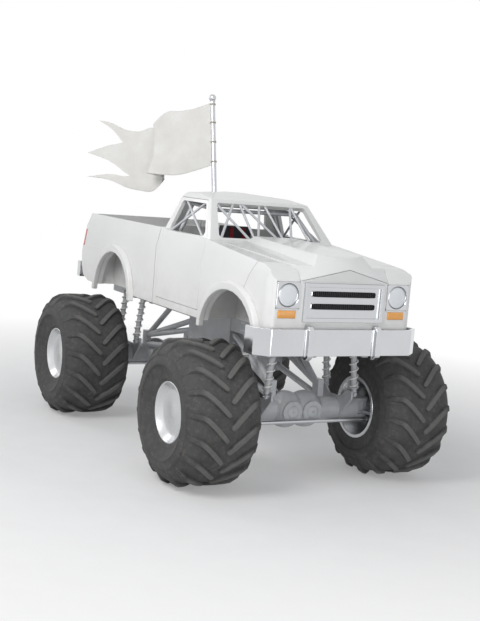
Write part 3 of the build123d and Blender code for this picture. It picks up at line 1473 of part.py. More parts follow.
def bed():
    """Cargo bed with floor, wheel housings and the tailgate's hinge pins."""
    front = CAB_REAR_X - CAB_BED_GAP
    outer = lower_body() & box(TAIL_X - 5, front, -WIDE, WIDE, BODY_FLOOR_Z, ROOF_TOP_Z)
    half = BODY_HALF_WIDTH - BED_WALL
    floor_top = BED_FLOOR_Z + BED_FLOOR
    gate_inner = TAIL_X + 95
    under = (
        (TAIL_FOOT_X + 60, BODY_FLOOR_Z - 10),
        (TAIL_X + 170, BODY_FLOOR_Z + 100),
        (TAIL_X + 80, BODY_FLOOR_Z + 240),
        (TAIL_X + 80, BED_FLOOR_Z),
        (front - BED_WALL, BED_FLOOR_Z),
        (front - BED_WALL, BODY_FLOOR_Z - 10),
    )
    arch_x = REAR_AXLE_X + REAR_ARCH_OFFSET
    shape = outer - side_prism(under, -half, half)
    shape = shape - box(TAIL_X - 50, front - BED_WALL, -half, half, floor_top, ROOF_TOP_Z)
    gate_half = TAILGATE_HALF_WIDTH + PANEL_GAP
    shape = shape - box(TAIL_X - 50, gate_inner, -gate_half, gate_half, GATE_SILL_Z, ROOF_TOP_Z)
    posts = []
    for side in (-1, 1):
        y_low, y_high = sorted((side * gate_half, side * (half + 5)))
        post = box(TAIL_X - 5, TAIL_X + 330, y_low, y_high, BED_FLOOR_Z, ROOF_TOP_Z)
        posts.append(post & outer & side_prism(tail_band(GATE_POST), -WIDE, WIDE))
    house_top = WHEEL_HOUSE_Z
    reach = REAR_ARCH_INNER[0] + 60
    plate = APRON_THICK
    shape = joined([shape] + posts)
    for side in (-1, 1):
        y_low, y_high = sorted((side * WHEEL_HOUSE_Y, side * (half + 1)))
        house = box(arch_x - reach, arch_x + reach, y_low, y_high, BODY_FLOOR_Z, house_top)
        shape = shape.fuse(house)
        y_low, y_high = sorted((side * (WHEEL_HOUSE_Y + plate), side * (half + 2)))
        hollow = box(
            arch_x - reach + plate, arch_x + reach - plate, y_low, y_high, BODY_FLOOR_Z - 5, house_top - plate
        )
        shape = shape - hollow
    shape = shape - ellipse_arch(arch_x, REAR_ARCH_INNER, half, WIDE)
    shape = shape - ellipse_arch(arch_x, REAR_ARCH_INNER, -WIDE, -half)
    shape = shape - tail_lamp_space() - mirrored(tail_lamp_space())
    pins = []
    axis_x, axis_z = tailgate_axis()
    for side in (-1, 1):
        start = (axis_x, side * (gate_half + 20), axis_z)
        end = (axis_x, side * (TAILGATE_HALF_WIDTH - TAILGATE_PIN_REACH), axis_z)
        pins.append(tube(start, end, TAILGATE_PIN_RADIUS))
    pad_low = (POLE_FOOT_X, 0, floor_top - 5)
    pad = bar(pad_low, (POLE_FOOT_X, 0, POLE_FOOT_Z), POLE_PLATE_RADIUS + 2, POLE_SIDES)
    return joined([shape, pad] + pins)


def tail_band(depth):
    """Side outline of the leaning tail, as thick as depth."""
    return (
        (TAIL_X + 15, TAILGATE_FOOT_Z - 30),
        (TAIL_X, TAIL_BELLY_Z),
        (TAIL_TOP_X, RAIL_Z),
        (TAIL_TOP_X + depth, RAIL_Z),
        (TAIL_X + depth, TAIL_BELLY_Z),
        (TAIL_X + depth + 15, TAILGATE_FOOT_Z - 30),
    )


def tailgate_axis():
    """Place of the tailgate's hinge axis, as (x, z)."""
    return TAIL_X + 15 + TAILGATE_PIN_INSET, TAILGATE_FOOT_Z + TAILGATE_PIN_INSET


def tailgate():
    half = TAILGATE_HALF_WIDTH
    shape = lower_body() & side_prism(tail_band(TAILGATE_THICK), -half, half)
    shape = shape & box(TAIL_X - 20, 0, -half, half, TAILGATE_FOOT_Z, ROOF_TOP_Z)
    axis_x, axis_z = tailgate_axis()
    for side in (-1, 1):
        start = (axis_x, side * (half + 10), axis_z)
        end = (axis_x, side * (half - TAILGATE_PIN_REACH - 4), axis_z)
        shape = shape - tube(start, end, TAILGATE_PIN_RADIUS + RUNNING_GAP)
    return shape


def tail_lamp_space():
    """Pocket for the left tail lamp, round the body's rear corner."""
    band = side_prism(tail_band(TAIL_LAMP_DEPTH), TAIL_LAMP_INNER_Y, WIDE)
    return band & box(TAIL_X - 20, 0, TAIL_LAMP_INNER_Y, WIDE, TAIL_LAMP_BOTTOM_Z, TAIL_LAMP_TOP_Z)


def save_bed():
    save("bed", bed())
    save("tailgate", tailgate())
    lamp = lower_body() & tail_lamp_space()
    save("tail_lamps", both_sides(lamp))


# Inside the cab and under the body

def roll_cage():
    """Two hoops and their rails, standing on the cab floor."""
    floor = BODY_FLOOR_Z + CAB_FLOOR
    main_x = CAB_REAR_X + 190
    front_x = COWL_X - 175
    belt_y = BODY_HALF_WIDTH - 210
    roof_y = ROOF_EDGE_HALF_WIDTH - 115
    roof_z = ROOF_EDGE_Z - 80
    front_z = roof_z - 40
    roof_front_x = COWL_X - ROOF_FRONT_SETBACK - 90
    lines = []
    for side in (-1, 1):
        main_belt = (main_x, side * belt_y, BELT_Z)
        main_top = (main_x, side * roof_y, roof_z)
        front_belt = (front_x, side * belt_y, BELT_Z)
        front_top = (roof_front_x, side * roof_y, front_z)
        lines += [
            ((main_x, side * belt_y, floor), main_belt),
            (main_belt, main_top),
            (main_top, front_top),
            ((front_x, side * belt_y, floor), front_belt),
            (front_belt, front_top),
        ]
    for x, z in ((main_x, roof_z), (roof_front_x, front_z)):
        lines.append(((x, -roof_y, z), (x, roof_y, z)))
    harness_z = BELT_Z - 350
    lines.append(((main_x, -belt_y, harness_z), (main_x, belt_y, harness_z)))
    return joined([bar(start, end, CAGE_RADIUS, 6) for start, end in lines])


def windshield_bars():
    """Braces across the windshield: crosses, uprights and one pointed pair."""
    plane, height = windshield_plane()
    rows = (
        # foot and head along the windshield, to the truck's left
        (-715, -395),
        (-300, -640),
        (-235, -300),
        (-190, -20),
        (130, -270),
        (190, 60),
        (290, 430),
        (560, 445),
    )
    bars = []
    for foot, head in rows:
        start = plane.from_local_coords((foot, 15, -ROOF_THICK / 2))
        end = plane.from_local_coords((head, height - 30, -ROOF_THICK / 2))
        bars.append(bar(start, end, WINDOW_BAR / 2, 6))
    return joined(bars) & windshield_opening()


def seat():
    """Bucket seat with side bolsters in the middle of the cab, on its mounting box."""
    floor = BODY_FLOOR_Z + CAB_FLOOR
    base_x = CAB_REAR_X + 330
    cushion = (
        (base_x + 60, floor + 200),
        (base_x + 560, floor + 230),
        (base_x + 580, floor + 350),
        (base_x + 150, floor + 315),
        (base_x + 15, floor + 1010),
        (base_x - 85, floor + 1010),
        (base_x + 10, floor + 240),
    )
    bolster = (
        (base_x + 60, floor + 200),
        (base_x + 560, floor + 230),
        (base_x + 585, floor + 390),
        (base_x + 520, floor + 420),
        (base_x + 250, floor + 400),
        (base_x + 110, floor + 860),
        (base_x - 60, floor + 860),
        (base_x + 10, floor + 240),
    )
    inner = SEAT_HALF_WIDTH - SEAT_BOLSTER
    left = side_prism(bolster, inner, SEAT_HALF_WIDTH)
    stand = box(base_x + 80, base_x + 520, -180, 180, floor, floor + 215)
    return joined([side_prism(cushion, -inner, inner), stand] + both_sides(left))


def dashboard():
    front = COWL_X - 33
    outline = (
        (front, COWL_Z - 75),
        (front - 230, COWL_Z - 95),
        (front - 270, COWL_Z - 175),
        (front - 220, COWL_Z - 305),
        (front, COWL_Z - 335),
    )
    half = BODY_HALF_WIDTH - 270
    return side_prism(outline, -half, half)


def steering_wheel():
    """Wheel, spokes and column, fixed to the dashboard."""
    centre = Vector(COWL_X - 410, 0, COWL_Z - 195)
    column_end = Vector(COWL_X - 268, 0, COWL_Z - 255)
    axis = (centre - column_end).normalized()
    plane = Plane(origin=centre, x_dir=(0, 1, 0), z_dir=axis)
    section = []
    for index in range(6):
        turn = radians(60 * index)
        section.append((WHEEL_RING_RADIUS + WHEEL_RING_WIRE * cos(turn), WHEEL_RING_WIRE * sin(turn)))
    ring = plane * Rot(90, 0, 0) * lathe(section, 16, ring=True)
    spokes = [
        plane * Box(2 * WHEEL_RING_RADIUS, 30, 12),
        plane * Pos(0, -WHEEL_RING_RADIUS / 2, 0) * Box(30, WHEEL_RING_RADIUS, 12),
    ]
    column = bar(centre, column_end, 26)
    return joined([ring, column] + spokes) - dashboard()


def engine():
    """Engine block, as one heavy piece at its real place and size."""
    return box(
        ENGINE_REAR_X,
        ENGINE_REAR_X + ENGINE_LENGTH,
        -ENGINE_HALF_WIDTH,
        ENGINE_HALF_WIDTH,
        RAIL_TOP_Z,
        RAIL_TOP_Z + ENGINE_HEIGHT,
    )


def transfer_case():
    centre = CRADLE_REAR_X + CRADLE_LENGTH / 2
    half = CASE_LENGTH / 2
    shaft_y = (AXLE_BALL_LEFT_Y + AXLE_BALL_RIGHT_Y) / 2
    outline = (
        (centre - half, CRADLE_FLOOR_Z),
        (centre + half, CRADLE_FLOOR_Z),
        (centre + half, CRADLE_FLOOR_Z + CASE_HEIGHT - 80),
        (centre + half - 90, CRADLE_FLOOR_Z + CASE_HEIGHT),
        (centre - half + 90, CRADLE_FLOOR_Z + CASE_HEIGHT),
        (centre - half, CRADLE_FLOOR_Z + CASE_HEIGHT - 80),
    )
    return side_prism(outline, shaft_y - CASE_WIDTH / 2, shaft_y + CASE_WIDTH / 2)


def drive_shafts():
    """A shaft with two flanges to each axle."""
    shafts = []
    for (start, finish), (_, _, inwards) in zip(shaft_lines(), axle_ends()):
        case_end = (start[0] + inwards * SHAFT_FLANGE, start[1], start[2])
        pinion_end = (finish[0] - inwards * SHAFT_FLANGE, finish[1], finish[2])
        pieces = [
            bar(case_end, start, SHAFT_FLANGE_RADIUS, 12),
            bar(start, finish, SHAFT_RADIUS),
            bar(finish, pinion_end, SHAFT_FLANGE_RADIUS, 12),
        ]
        shafts.append(joined(pieces))
    return shafts


def link_bars(frame_shape, axle_shapes):
    """Four-link bars and brace tubes, coped to the frame and to the axle housings."""
    rows = (
        # foot z, head distance inwards from the axle or None for the cradle, head z
        (LINK_FOOT_Z, None, 1560),
        (LINK_FOOT_Z, None, 1430),
        (LINK_FOOT_Z - 130, None, 1165),
    )
    bars = []
    for (end, axle_x, inwards), axle_shape in zip(axle_ends(), axle_shapes):
        foot_x = axle_x + inwards * (LINK_BRACKET - 30)
        cradle_x = CRADLE_REAR_X if inwards > 0 else CRADLE_REAR_X + CRADLE_LENGTH
        group = []
        for foot_z, head, head_z in rows:
            head_x = cradle_x + inwards * 6
            group.append(bar((foot_x, LINK_Y, foot_z), (head_x, LINK_Y, head_z), LINK_RADIUS))
        group.append(
            bar((foot_x, LINK_Y, LINK_FOOT_Z), (foot_x + inwards * 780, LINK_Y, 1690), LINK_RADIUS)
        )
        fan = joined(group) - axle_shape - frame_shape
        solids = sorted(fan.solids(), key=lambda solid: solid.volume)
        bars += both_sides(solids[-1])
    return bars


def save_inside():
    save("roll_cage", [roll_cage(), windshield_bars()])
    save("seat", seat())
    save("dashboard", dashboard())
    save("steering_wheel", steering_wheel())
    save("engine", engine())
    save("transfer_case", transfer_case())
    save("drive_shafts", drive_shafts())


# Flag on its pole

def pole_axis(height):
    """Point on the pole's axis at a height above the ground."""
    rise = height - POLE_FOOT_Z
    return POLE_FOOT_X - rise * tan(radians(POLE_RAKE)), 0, height


def flag_pole():
    """Raked pole with a foot plate and a ball on top."""
    top_z = POLE_FOOT_Z + POLE_LENGTH * cos(radians(POLE_RAKE))
    foot = pole_axis(POLE_FOOT_Z)
    top = pole_axis(top_z)
    pole = bar(foot, top, POLE_RADIUS, POLE_SIDES)
    plate = bar(foot, (foot[0], foot[1], foot[2] + POLE_PLATE), POLE_PLATE_RADIUS, POLE_SIDES)
    rows = []
    for step in range(1, BALL_STEPS + 2):
        turn = radians(180 * step / (BALL_STEPS + 2))
        rows.append((POLE_BALL_RADIUS * sin(turn), POLE_BALL_RADIUS * cos(turn)))
    ball = Pos(*top) * Rot(90, 0, 0) * lathe(rows, POLE_SIDES)
    below = box(foot[0] - 200, foot[0] + 200, -200, 200, POLE_FOOT_Z - 100, POLE_FOOT_Z)
    return joined([pole, plate, ball]) - below


def flag():
    """Flag streaming to the rear right, folded over itself halfway along."""
    half = FLAG_THICK / 2
    rows = []
    last = len(FLAG_STATIONS) - 1
    for index, (x, y, top_z, bottom_z) in enumerate(FLAG_STATIONS):
        before = Vector(*FLAG_STATIONS[max(index - 1, 0)][:2])
        after = Vector(*FLAG_STATIONS[min(index + 1, last)][:2])
        along = (after - before).normalized()
        row = []
        for side, z in ((1, bottom_z), (-1, bottom_z), (-1, top_z), (1, top_z)):
            pole_x = pole_axis(z)[0]
            row.append((pole_x + x - along.Y * half * side, y + along.X * half * side, z))
        rows.append(row)
    low = pole_axis(FLAG_STATIONS[0][3] - 200)
    high = pole_axis(FLAG_STATIONS[0][2] + 200)
    return skin(rows) - bar(low, high, POLE_RADIUS + SEAT_GAP, POLE_SIDES)


def main():
    os.makedirs("parts", exist_ok=True)
    save_running_gear()
    save_suspension()
    frame_shape = frame()
    save("frame", frame_shape)
    axle_shapes = [Pos(axle_x, 0, AXLE_Z) * axle(inwards) for _, axle_x, inwards in axle_ends()]
    save("link_bars", link_bars(frame_shape, axle_shapes))
    save_cab()
    save_front_end()
    save_bed()
    save_inside()
    save("flag_pole", flag_pole())
    save("flag", flag())


if __name__ == "__main__":
    main()
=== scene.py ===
"""Looks of the monster truck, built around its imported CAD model. Metres, in the row frame."""

import bisect
import math

import bmesh
import bpy
from mathutils import Matrix, Quaternion, Vector, noise


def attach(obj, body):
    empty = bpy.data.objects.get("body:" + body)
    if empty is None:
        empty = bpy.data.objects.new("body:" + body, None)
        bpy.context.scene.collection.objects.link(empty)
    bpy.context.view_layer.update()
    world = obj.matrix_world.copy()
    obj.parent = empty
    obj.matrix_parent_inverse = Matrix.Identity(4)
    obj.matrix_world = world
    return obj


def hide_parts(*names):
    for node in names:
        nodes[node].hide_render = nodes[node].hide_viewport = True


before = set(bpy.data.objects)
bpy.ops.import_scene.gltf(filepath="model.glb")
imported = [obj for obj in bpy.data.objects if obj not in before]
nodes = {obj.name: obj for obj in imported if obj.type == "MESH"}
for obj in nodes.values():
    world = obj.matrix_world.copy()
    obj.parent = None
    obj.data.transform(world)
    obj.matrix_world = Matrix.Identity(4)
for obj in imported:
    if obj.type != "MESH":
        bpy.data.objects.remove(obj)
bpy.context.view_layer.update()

FRONT_AXLE_X = 2.044
REAR_AXLE_X = -1.644
AXLE_Z = 0.838
WHEEL_Y = 1.31
TYRE_RADIUS = 0.838
# name, place, direction outwards
AXLES = (("front", FRONT_AXLE_X, 1), ("rear", REAR_AXLE_X, -1))
SIDES = (("left", 1), ("right", -1))
CORNERS = [(f"{end}_{name}", axle_x, side) for end, axle_x, _ in AXLES for name, side in SIDES]
KNUCKLES = [f"knuckle_{suffix}" for suffix, _, _ in CORNERS]
POLE_LEAN = math.radians(12.4)
# radius at which a revolved outline closes on its axis
TIP = 0.0001
LEFT = Vector((0, 1, 0))


# Materials

class Nodes:
    """The node tree of a material or the world."""

    def __init__(self, owner):
        owner.use_nodes = True
        self.owner = owner
        self.tree = owner.node_tree
        self.shader = self.tree.nodes.get("Principled BSDF")

    def add(self, kind, **values):
        node = self.tree.nodes.new(kind)
        for key, value in values.items():
            if key in node.inputs:
                node.inputs[key].default_value = value
            else:
                setattr(node, key, value)
        return node

    def link(self, output, target):
        self.tree.links.new(output, target)

    def set(self, **values):
        for key, value in values.items():
            self.shader.inputs[key.replace("_", " ")].default_value = value

    def drive(self, socket, output):
        self.link(output, self.shader.inputs[socket])

    def position(self, stretch=(1, 1, 1)):
        where = self.add("ShaderNodeTexCoord")
        mapping = self.add("ShaderNodeMapping", Scale=stretch)
        self.link(where.outputs["Object"], mapping.inputs["Vector"])
        return mapping.outputs["Vector"]

    def noise(self, scale, detail, stretch=(1, 1, 1), roughness=0.55):
        node = self.add("ShaderNodeTexNoise", Scale=scale, Detail=detail, Roughness=roughness)
        self.link(self.position(stretch), node.inputs["Vector"])
        return node.outputs["Fac"]

    def length(self, vector):
        node = self.add("ShaderNodeVectorMath", operation="LENGTH")
        self.link(vector, node.inputs[0])
        return node.outputs["Value"]

    def combine(self, operation, first, second):
        node = self.add("ShaderNodeMath", operation=operation)
        self.link(first, node.inputs[0])
        self.link(second, node.inputs[1])
        return node.outputs[0]

    def ramp(self, source, low, high, low_value=0.0, high_value=1.0):
        node = self.add("ShaderNodeMapRange")
        self.link(source, node.inputs["Value"])
        for place, limit in enumerate((low, high, low_value, high_value), 1):
            node.inputs[place].default_value = limit
        return node.outputs["Result"]

    def mix(self, factor, first, second):
        """Mix two colours, each a tuple or another node's output."""
        node = self.add("ShaderNodeMix", data_type="RGBA")
        self.link(factor, node.inputs[0])
        for socket, value in ((node.inputs[6], first), (node.inputs[7], second)):
            if isinstance(value, tuple):
                socket.default_value = (*value, 1)
            else:
                self.link(value, socket)
        return node.outputs[2]

    def mix_shaders(self, factor, first, second):
        node = self.add("ShaderNodeMixShader")
        for place, output in enumerate((factor, first, second)):
            self.link(output, node.inputs[place])
        return node.outputs[0]

    def bump(self, height, strength, distance=0.002):
        node = self.add("ShaderNodeBump", Strength=strength, Distance=distance)
        self.link(height, node.inputs["Height"])
        self.drive("Normal", node.outputs["Normal"])

    def rays_that_show(self):
        """1 for the rays that show the background: seen, mirrored or through glass."""
        rays = self.add("ShaderNodeLightPath")
        shown = rays.outputs["Is Camera Ray"]
        for kind in ("Is Transmission Ray", "Is Glossy Ray"):
            shown = self.combine("MAXIMUM", shown, rays.outputs[kind])
        return shown


DUST = (0.35, 0.31, 0.26)


def look(name, colour, rough, metal=0.0, coat=0.0, shade=0.06, patches=3.0, grain=180.0,
         strength=0.05, stretch=(1, 1, 1), dirt=0.0, rough_spread=0.08):
    """A surface with soft colour patches, fine grain and, if asked for, dust."""
    made = Nodes(bpy.data.materials.new(name))
    made.set(Metallic=metal, Coat_Weight=coat, Coat_Roughness=0.06)
    darker = tuple(c * (1 - shade) for c in colour)
    lighter = tuple(min(1, c * (1 + shade * 0.6)) for c in colour)
    tone = made.mix(made.ramp(made.noise(patches, 5), 0.3, 0.7), darker, lighter)
    if dirt:
        dust = made.noise(patches * 2.3, 8, roughness=0.7)
        tone = made.mix(made.ramp(dust, 0.48, 0.8, 0, dirt), tone, DUST)
    made.drive("Base Color", tone)
    fine = made.noise(grain, 3, stretch)
    smoothest = max(rough - rough_spread, 0.02)
    made.drive("Roughness", made.ramp(fine, 0.25, 0.75, smoothest, rough + rough_spread))
    made.bump(fine, strength)
    return made.owner


def body_paint():
    """White gloss paint with a clear coat and a little road dust low down."""
    made = Nodes(bpy.data.materials.new("truck_white_paint"))
    made.set(Coat_Weight=0.35, Coat_Roughness=0.05, IOR=1.45)
    tone = made.mix(made.ramp(made.noise(1.3, 4), 0.3, 0.7), (0.8, 0.8, 0.785), (0.86, 0.86, 0.85))
    where = made.add("ShaderNodeNewGeometry")
    split = made.add("ShaderNodeSeparateXYZ")
    made.link(where.outputs["Position"], split.inputs["Vector"])
    low = made.ramp(split.outputs["Z"], 2.25, 1.75)
    dust = made.ramp(made.noise(7, 8, roughness=0.7), 0.42, 0.75, 0, 0.35)
    tone = made.mix(made.combine("MULTIPLY", low, dust), tone, (0.55, 0.5, 0.43))
    made.drive("Base Color", tone)
    made.drive("Roughness", made.ramp(made.noise(6, 3), 0.3, 0.7, 0.34, 0.42))
    made.bump(made.noise(900, 2), 0.02, 0.0005)
    return made.owner


def tyre_rubber():
    """Dark rubber with a fine grain, dusty in patches; the lugs' tops greyer, partly real wear and partly a
    painted highlight.
    """
    made = Nodes(bpy.data.materials.new("tyre_black_rubber"))
    made.set(IOR=1.45)
    broad = made.noise(5, 6, roughness=0.65)
    tone = made.mix(made.ramp(broad, 0.3, 0.7), (0.04, 0.04, 0.042), (0.085, 0.084, 0.083))
    dust = made.noise(16, 9, roughness=0.72)
    tone = made.mix(made.ramp(dust, 0.5, 0.78, 0, 0.45), tone, (0.23, 0.205, 0.175))
    # lug tops greyer by their distance from the axle: partly rubbed rubber, partly a painted highlight that
    # lifts the lugs out of the dark tyre
    where = made.add("ShaderNodeTexCoord")
    flat = made.add("ShaderNodeVectorMath", operation="MULTIPLY")
    flat.inputs[1].default_value = (1, 0, 1)
    made.link(where.outputs["Object"], flat.inputs[0])
    worn_and_highlit_tops = made.ramp(made.length(flat.outputs["Vector"]), TYRE_RADIUS - 0.032, TYRE_RADIUS - 0.004, 0, 0.5)
    tone = made.mix(worn_and_highlit_tops, tone, (0.19, 0.185, 0.178))
    made.drive("Base Color", tone)
    made.drive("Roughness", made.ramp(broad, 0.3, 0.7, 0.62, 0.85))
    made.bump(made.noise(140, 5), 0.25)
    return made.owner


def flag_cloth():
    """Woven off-white cloth with a slight sheen and grubby patches."""
    made = Nodes(bpy.data.materials.new("flag_woven_cloth"))
    made.set(Sheen_Weight=0.25, Sheen_Roughness=0.5, Roughness=0.85)
    weave = []
    for direction in ("X", "Z"):
        wave = made.add("ShaderNodeTexWave", Scale=150.0, Distortion=0.6, bands_direction=direction)
        made.link(made.position(), wave.inputs["Vector"])
        weave.append(wave.outputs["Fac"])
    threads = made.combine("MAXIMUM", *weave)
    stains = made.noise(3.5, 7, roughness=0.65)
    tone = made.mix(made.ramp(stains, 0.35, 0.75, 0, 0.55), (0.86, 0.85, 0.82), (0.7, 0.67, 0.61))
    tone = made.mix(made.ramp(threads, 0.2, 1.0, 0.12, 0.0), tone, (0.5, 0.48, 0.44))
    made.drive("Base Color", tone)
    made.bump(threads, 0.25, 0.001)
    return made.owner


PAINT = body_paint()
RUBBER = tyre_rubber()
CLOTH = flag_cloth()
CHROME = look(
    "polished_chrome", (0.6, 0.61, 0.63), 0.12, metal=1.0, shade=0.03, grain=60, strength=0.01,
    rough_spread=0.04,
)
RIM_METAL = look(
    "satin_aluminium", (0.66, 0.67, 0.68), 0.3, metal=0.85, shade=0.05, grain=220, strength=0.03
)
CHASSIS = look("chassis_grey_paint", (0.5, 0.51, 0.53), 0.42, coat=0.25, shade=0.08, patches=4, dirt=0.35)
CAGE = look("cage_grey_paint", (0.6, 0.61, 0.63), 0.36, coat=0.3, shade=0.05)
STEEL = look("brushed_steel", (0.56, 0.57, 0.59), 0.32, metal=1.0, grain=90, stretch=(1, 1, 8), strength=0.06)
CASTING = look(
    "cast_iron_case", (0.16, 0.16, 0.165), 0.62, metal=0.6, shade=0.15, grain=110, strength=0.35, dirt=0.3
)
SPRING = look("spring_white_paint", (0.8, 0.8, 0.78), 0.3, coat=0.5, shade=0.05)
DARK = look("dark_moulded_plastic", (0.045, 0.045, 0.05), 0.55, shade=0.12, grain=320, strength=0.15)
LENS = look("clear_lens", (0.8, 0.83, 0.86), 0.1, coat=1.0, shade=0.02, grain=40, strength=0.02)
AMBER = look("amber_lens", (0.85, 0.36, 0.04), 0.16, coat=1.0, shade=0.05, grain=40, strength=0.02)
RED = look("red_lens", (0.5, 0.02, 0.02), 0.16, coat=1.0, grain=40, strength=0.02)
SEAT = look("seat_woven_fabric", (0.06, 0.06, 0.07), 0.85, shade=0.15, grain=420, strength=0.5)
CORD = look("flag_cord", (0.62, 0.58, 0.5), 0.85, shade=0.12, grain=500, strength=0.5)
STRAP = look("harness_webbing", (0.33, 0.02, 0.025), 0.75, shade=0.1, grain=600, strength=0.4)


# Helpers

def add_object(name, data):
    """Put an object into the scene."""
    obj = bpy.data.objects.new(name, data)
    bpy.context.scene.collection.objects.link(obj)
    return obj


def add_mesh_object(name, bm, material):
    """Turn a bmesh into an object."""
    mesh = bpy.data.meshes.new(name)
    bm.to_mesh(mesh)
    bm.free()
    mesh.materials.append(material)
    return add_object(name, mesh)


def finish_piece(name, bm, material, body="chassis", angle=40, replaced=None,
                 place=(0, 0, 0), outwards=False):
    """Turn a bmesh into a piece that rides on a body, with its own centre at place."""
    if outwards:
        bmesh.ops.recalc_face_normals(bm, faces=bm.faces)
    obj = add_mesh_object(name, bm, material)
    obj.location = place
    for polygon in obj.data.polygons:
        polygon.use_smooth = True
    obj.data.set_sharp_from_angle(angle=math.radians(angle))
    bpy.context.view_layer.update()
    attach(obj, body)
    if replaced:
        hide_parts(replaced)
    return obj


def circle(steps, shift=0.0):
    """Cosine and sine of even steps round a circle, shifted by a share of a step."""
    for index in range(steps):
        turn = 2 * math.pi * (index + shift) / steps
        yield math.cos(turn), math.sin(turn)


def between(rows, place):
    """Value at a place on a broken line of (place, value) rows; past its end, the last value."""
    for (low, first), (high, second) in zip(rows, rows[1:]):
        if place <= high:
            return first + (second - first) * (place - low) / (high - low)
    return rows[-1][1]


def axes_for(direction):
    """Two unit vectors square to a direction."""
    along = Vector(direction).normalized()
    side = along.orthogonal().normalized()
    return side, along.cross(side)


def add_grid(bm, rows, close_rows=False, close_columns=True, caps=False):
    """Skin a list of equal rows of points."""
    made = [[bm.verts.new(point) for point in row] for row in rows]
    count = len(made)
    for index in range(count if close_rows else count - 1):
        first = made[index]
        second = made[(index + 1) % count]
        width = len(first)
        for place in range(width if close_columns else width - 1):
            after = (place + 1) % width
            bm.faces.new((first[place], first[after], second[after], second[place]))
    if caps:
        bm.faces.new(made[0][::-1])
        bm.faces.new(made[-1])


def add_lathe(bm, centre, axis, profile, steps, close=False):
    """Revolve (radius, distance along the axis) pairs about an axis."""
    side, up = axes_for(axis)
    along = Vector(axis).normalized()
    centre = Vector(centre)
    rows = []
    for c, s in circle(steps):
        out = side * c + up * s
        rows.append([centre + out * radius + along * far for radius, far in profile])
    add_grid(bm, rows, close_rows=True, close_columns=close)


def ball_outline(centre, radius, first, last, steps=18):
    """Part of a ball as (radius, distance along its axis) pairs, between two angles from its pole."""
    rows = []
    for step in range(steps + 1):
        turn = first + (last - first) * step / steps
        rows.append((radius * math.sin(turn), centre + radius * math.cos(turn)))
    return rows


def add_ring(bm, centre, axis, radius, wire, steps):
    """A ring of round wire: a weld bead, a tie or a padded rim."""
    profile = [(radius + wire * c, wire * s) for c, s in circle(8)]
    add_lathe(bm, centre, axis, profile, steps, close=True)


def add_tube(bm, points, radius, sides):
    """A round tube along a list of points."""
    side = None
    rows = []
    for index, point in enumerate(points):
        before = points[max(index - 1, 0)]
        after = points[min(index + 1, len(points) - 1)]
        along = (after - before).normalized()
        if side is None:
            side = along.orthogonal().normalized()
        side = (side - along * side.dot(along)).normalized()
        up = along.cross(side)
        rows.append([point + (side * c + up * s) * radius for c, s in circle(sides)])
    add_grid(bm, rows, caps=True)


def add_rods(bm, lines, radius, sides):
    """Straight round rods between pairs of points."""
    for start, end in lines:
        start = Vector(start)
        axis = Vector(end) - start
        profile = ((TIP, 0), (radius, 0), (radius, axis.length), (TIP, axis.length))
        add_lathe(bm, start, axis, profile, sides)


def add_block(bm, centre, size, bevel, segments, turn=Quaternion()):
    """A block with rounded edges."""
    made = bmesh.ops.create_cube(bm, size=1)["verts"]
    matrix = Matrix.Translation(centre) @ turn.to_matrix().to_4x4() @ Matrix.Diagonal((*size, 1))
    bmesh.ops.transform(bm, matrix=matrix, verts=made)
    edges = list({edge for vert in made for edge in vert.link_edges})
    bmesh.ops.bevel(bm, geom=edges, offset=bevel, segments=segments, affect="EDGES", profile=0.5)


def add_bolt(bm, centre, axis, radius, height):
    """A hexagon bolt head with a washer."""
    washer = ((TIP, 0.002), (radius * 1.35, 0.002), (radius * 1.5, 0), (radius * 1.5, -0.003))
    head = ((TIP, height), (radius * 0.8, height), (radius, height * 0.8), (radius, 0))
    add_lathe(bm, centre, axis, washer, 18)
    add_lathe(bm, centre, axis, head, 6)


def add_bolt_circle(bm, centre, axis, circle_radius, count, radius, height):
    """Bolts in a circle whose axis runs along the truck."""
    for c, s in circle(count, 0.5):
        spot = centre + Vector((0, circle_radius * c, circle_radius * s))
        add_bolt(bm, spot, axis, radius, height)


def soften(names, width, segments):
    """Round the sharp edges of CAD nodes with modifiers, which leave their meshes alone."""
    for name in names:
        modifiers = nodes[name].modifiers
        modifiers.new("weld", "WELD").merge_threshold = 0.0002
        bevel = modifiers.new("bevel", "BEVEL")
        bevel.width = width
        bevel.segments = segments
        bevel.limit_method = "ANGLE"
        bevel.angle_limit = math.radians(32)
        modifiers.new("normals", "WEIGHTED_NORMAL")


def dress(material, *names):
    """Give CAD nodes a material."""
    for name in names:
        mesh = nodes[name].data
        mesh.materials.clear()
        mesh.materials.append(material)
        for polygon in mesh.polygons:
            polygon.use_smooth = True


# Camera, light and floor

CAMERA_PLACE = (13.332, -7.234, 3.6)
CAMERA_RIGHT = (0.48019227, 0.87303581, 0.08499331)
CAMERA_UP = (-0.14825951, -0.01472062, 0.98883893)
CAMERA_BACK = (0.86454295, -0.48743387, 0.12236713)
# distances between which the floor turns white, and its share of white before them
FLOOR_FADE = (3.2, 10.5)
FLOOR_GLOW = 0.25
FLOOR_RADIUS = 240
LAMPS = (
    # place, aimed at, size, power
    ((5.0, -9.0, 9.5), (0, 0, 1.6), 5.0, 720),
    ((11.0, -2.0, 2.4), (1.5, 0, 1.2), 4.0, 170),
    ((-8.0, -6.0, 7.0), (0, 0, 2.0), 4.0, 130),
)


def view():
    """The camera that fits the drawing."""
    data = bpy.data.cameras.new("camera")
    data.sensor_width = 36
    data.lens = 66.36
    data.clip_end = 500
    camera = add_object("camera", data)
    rotation = Matrix((CAMERA_RIGHT, CAMERA_UP, CAMERA_BACK)).transposed()
    camera.matrix_world = Matrix.Translation(CAMERA_PLACE) @ rotation.to_4x4()
    bpy.context.scene.camera = camera
    bpy.context.scene.view_settings.view_transform = "Standard"


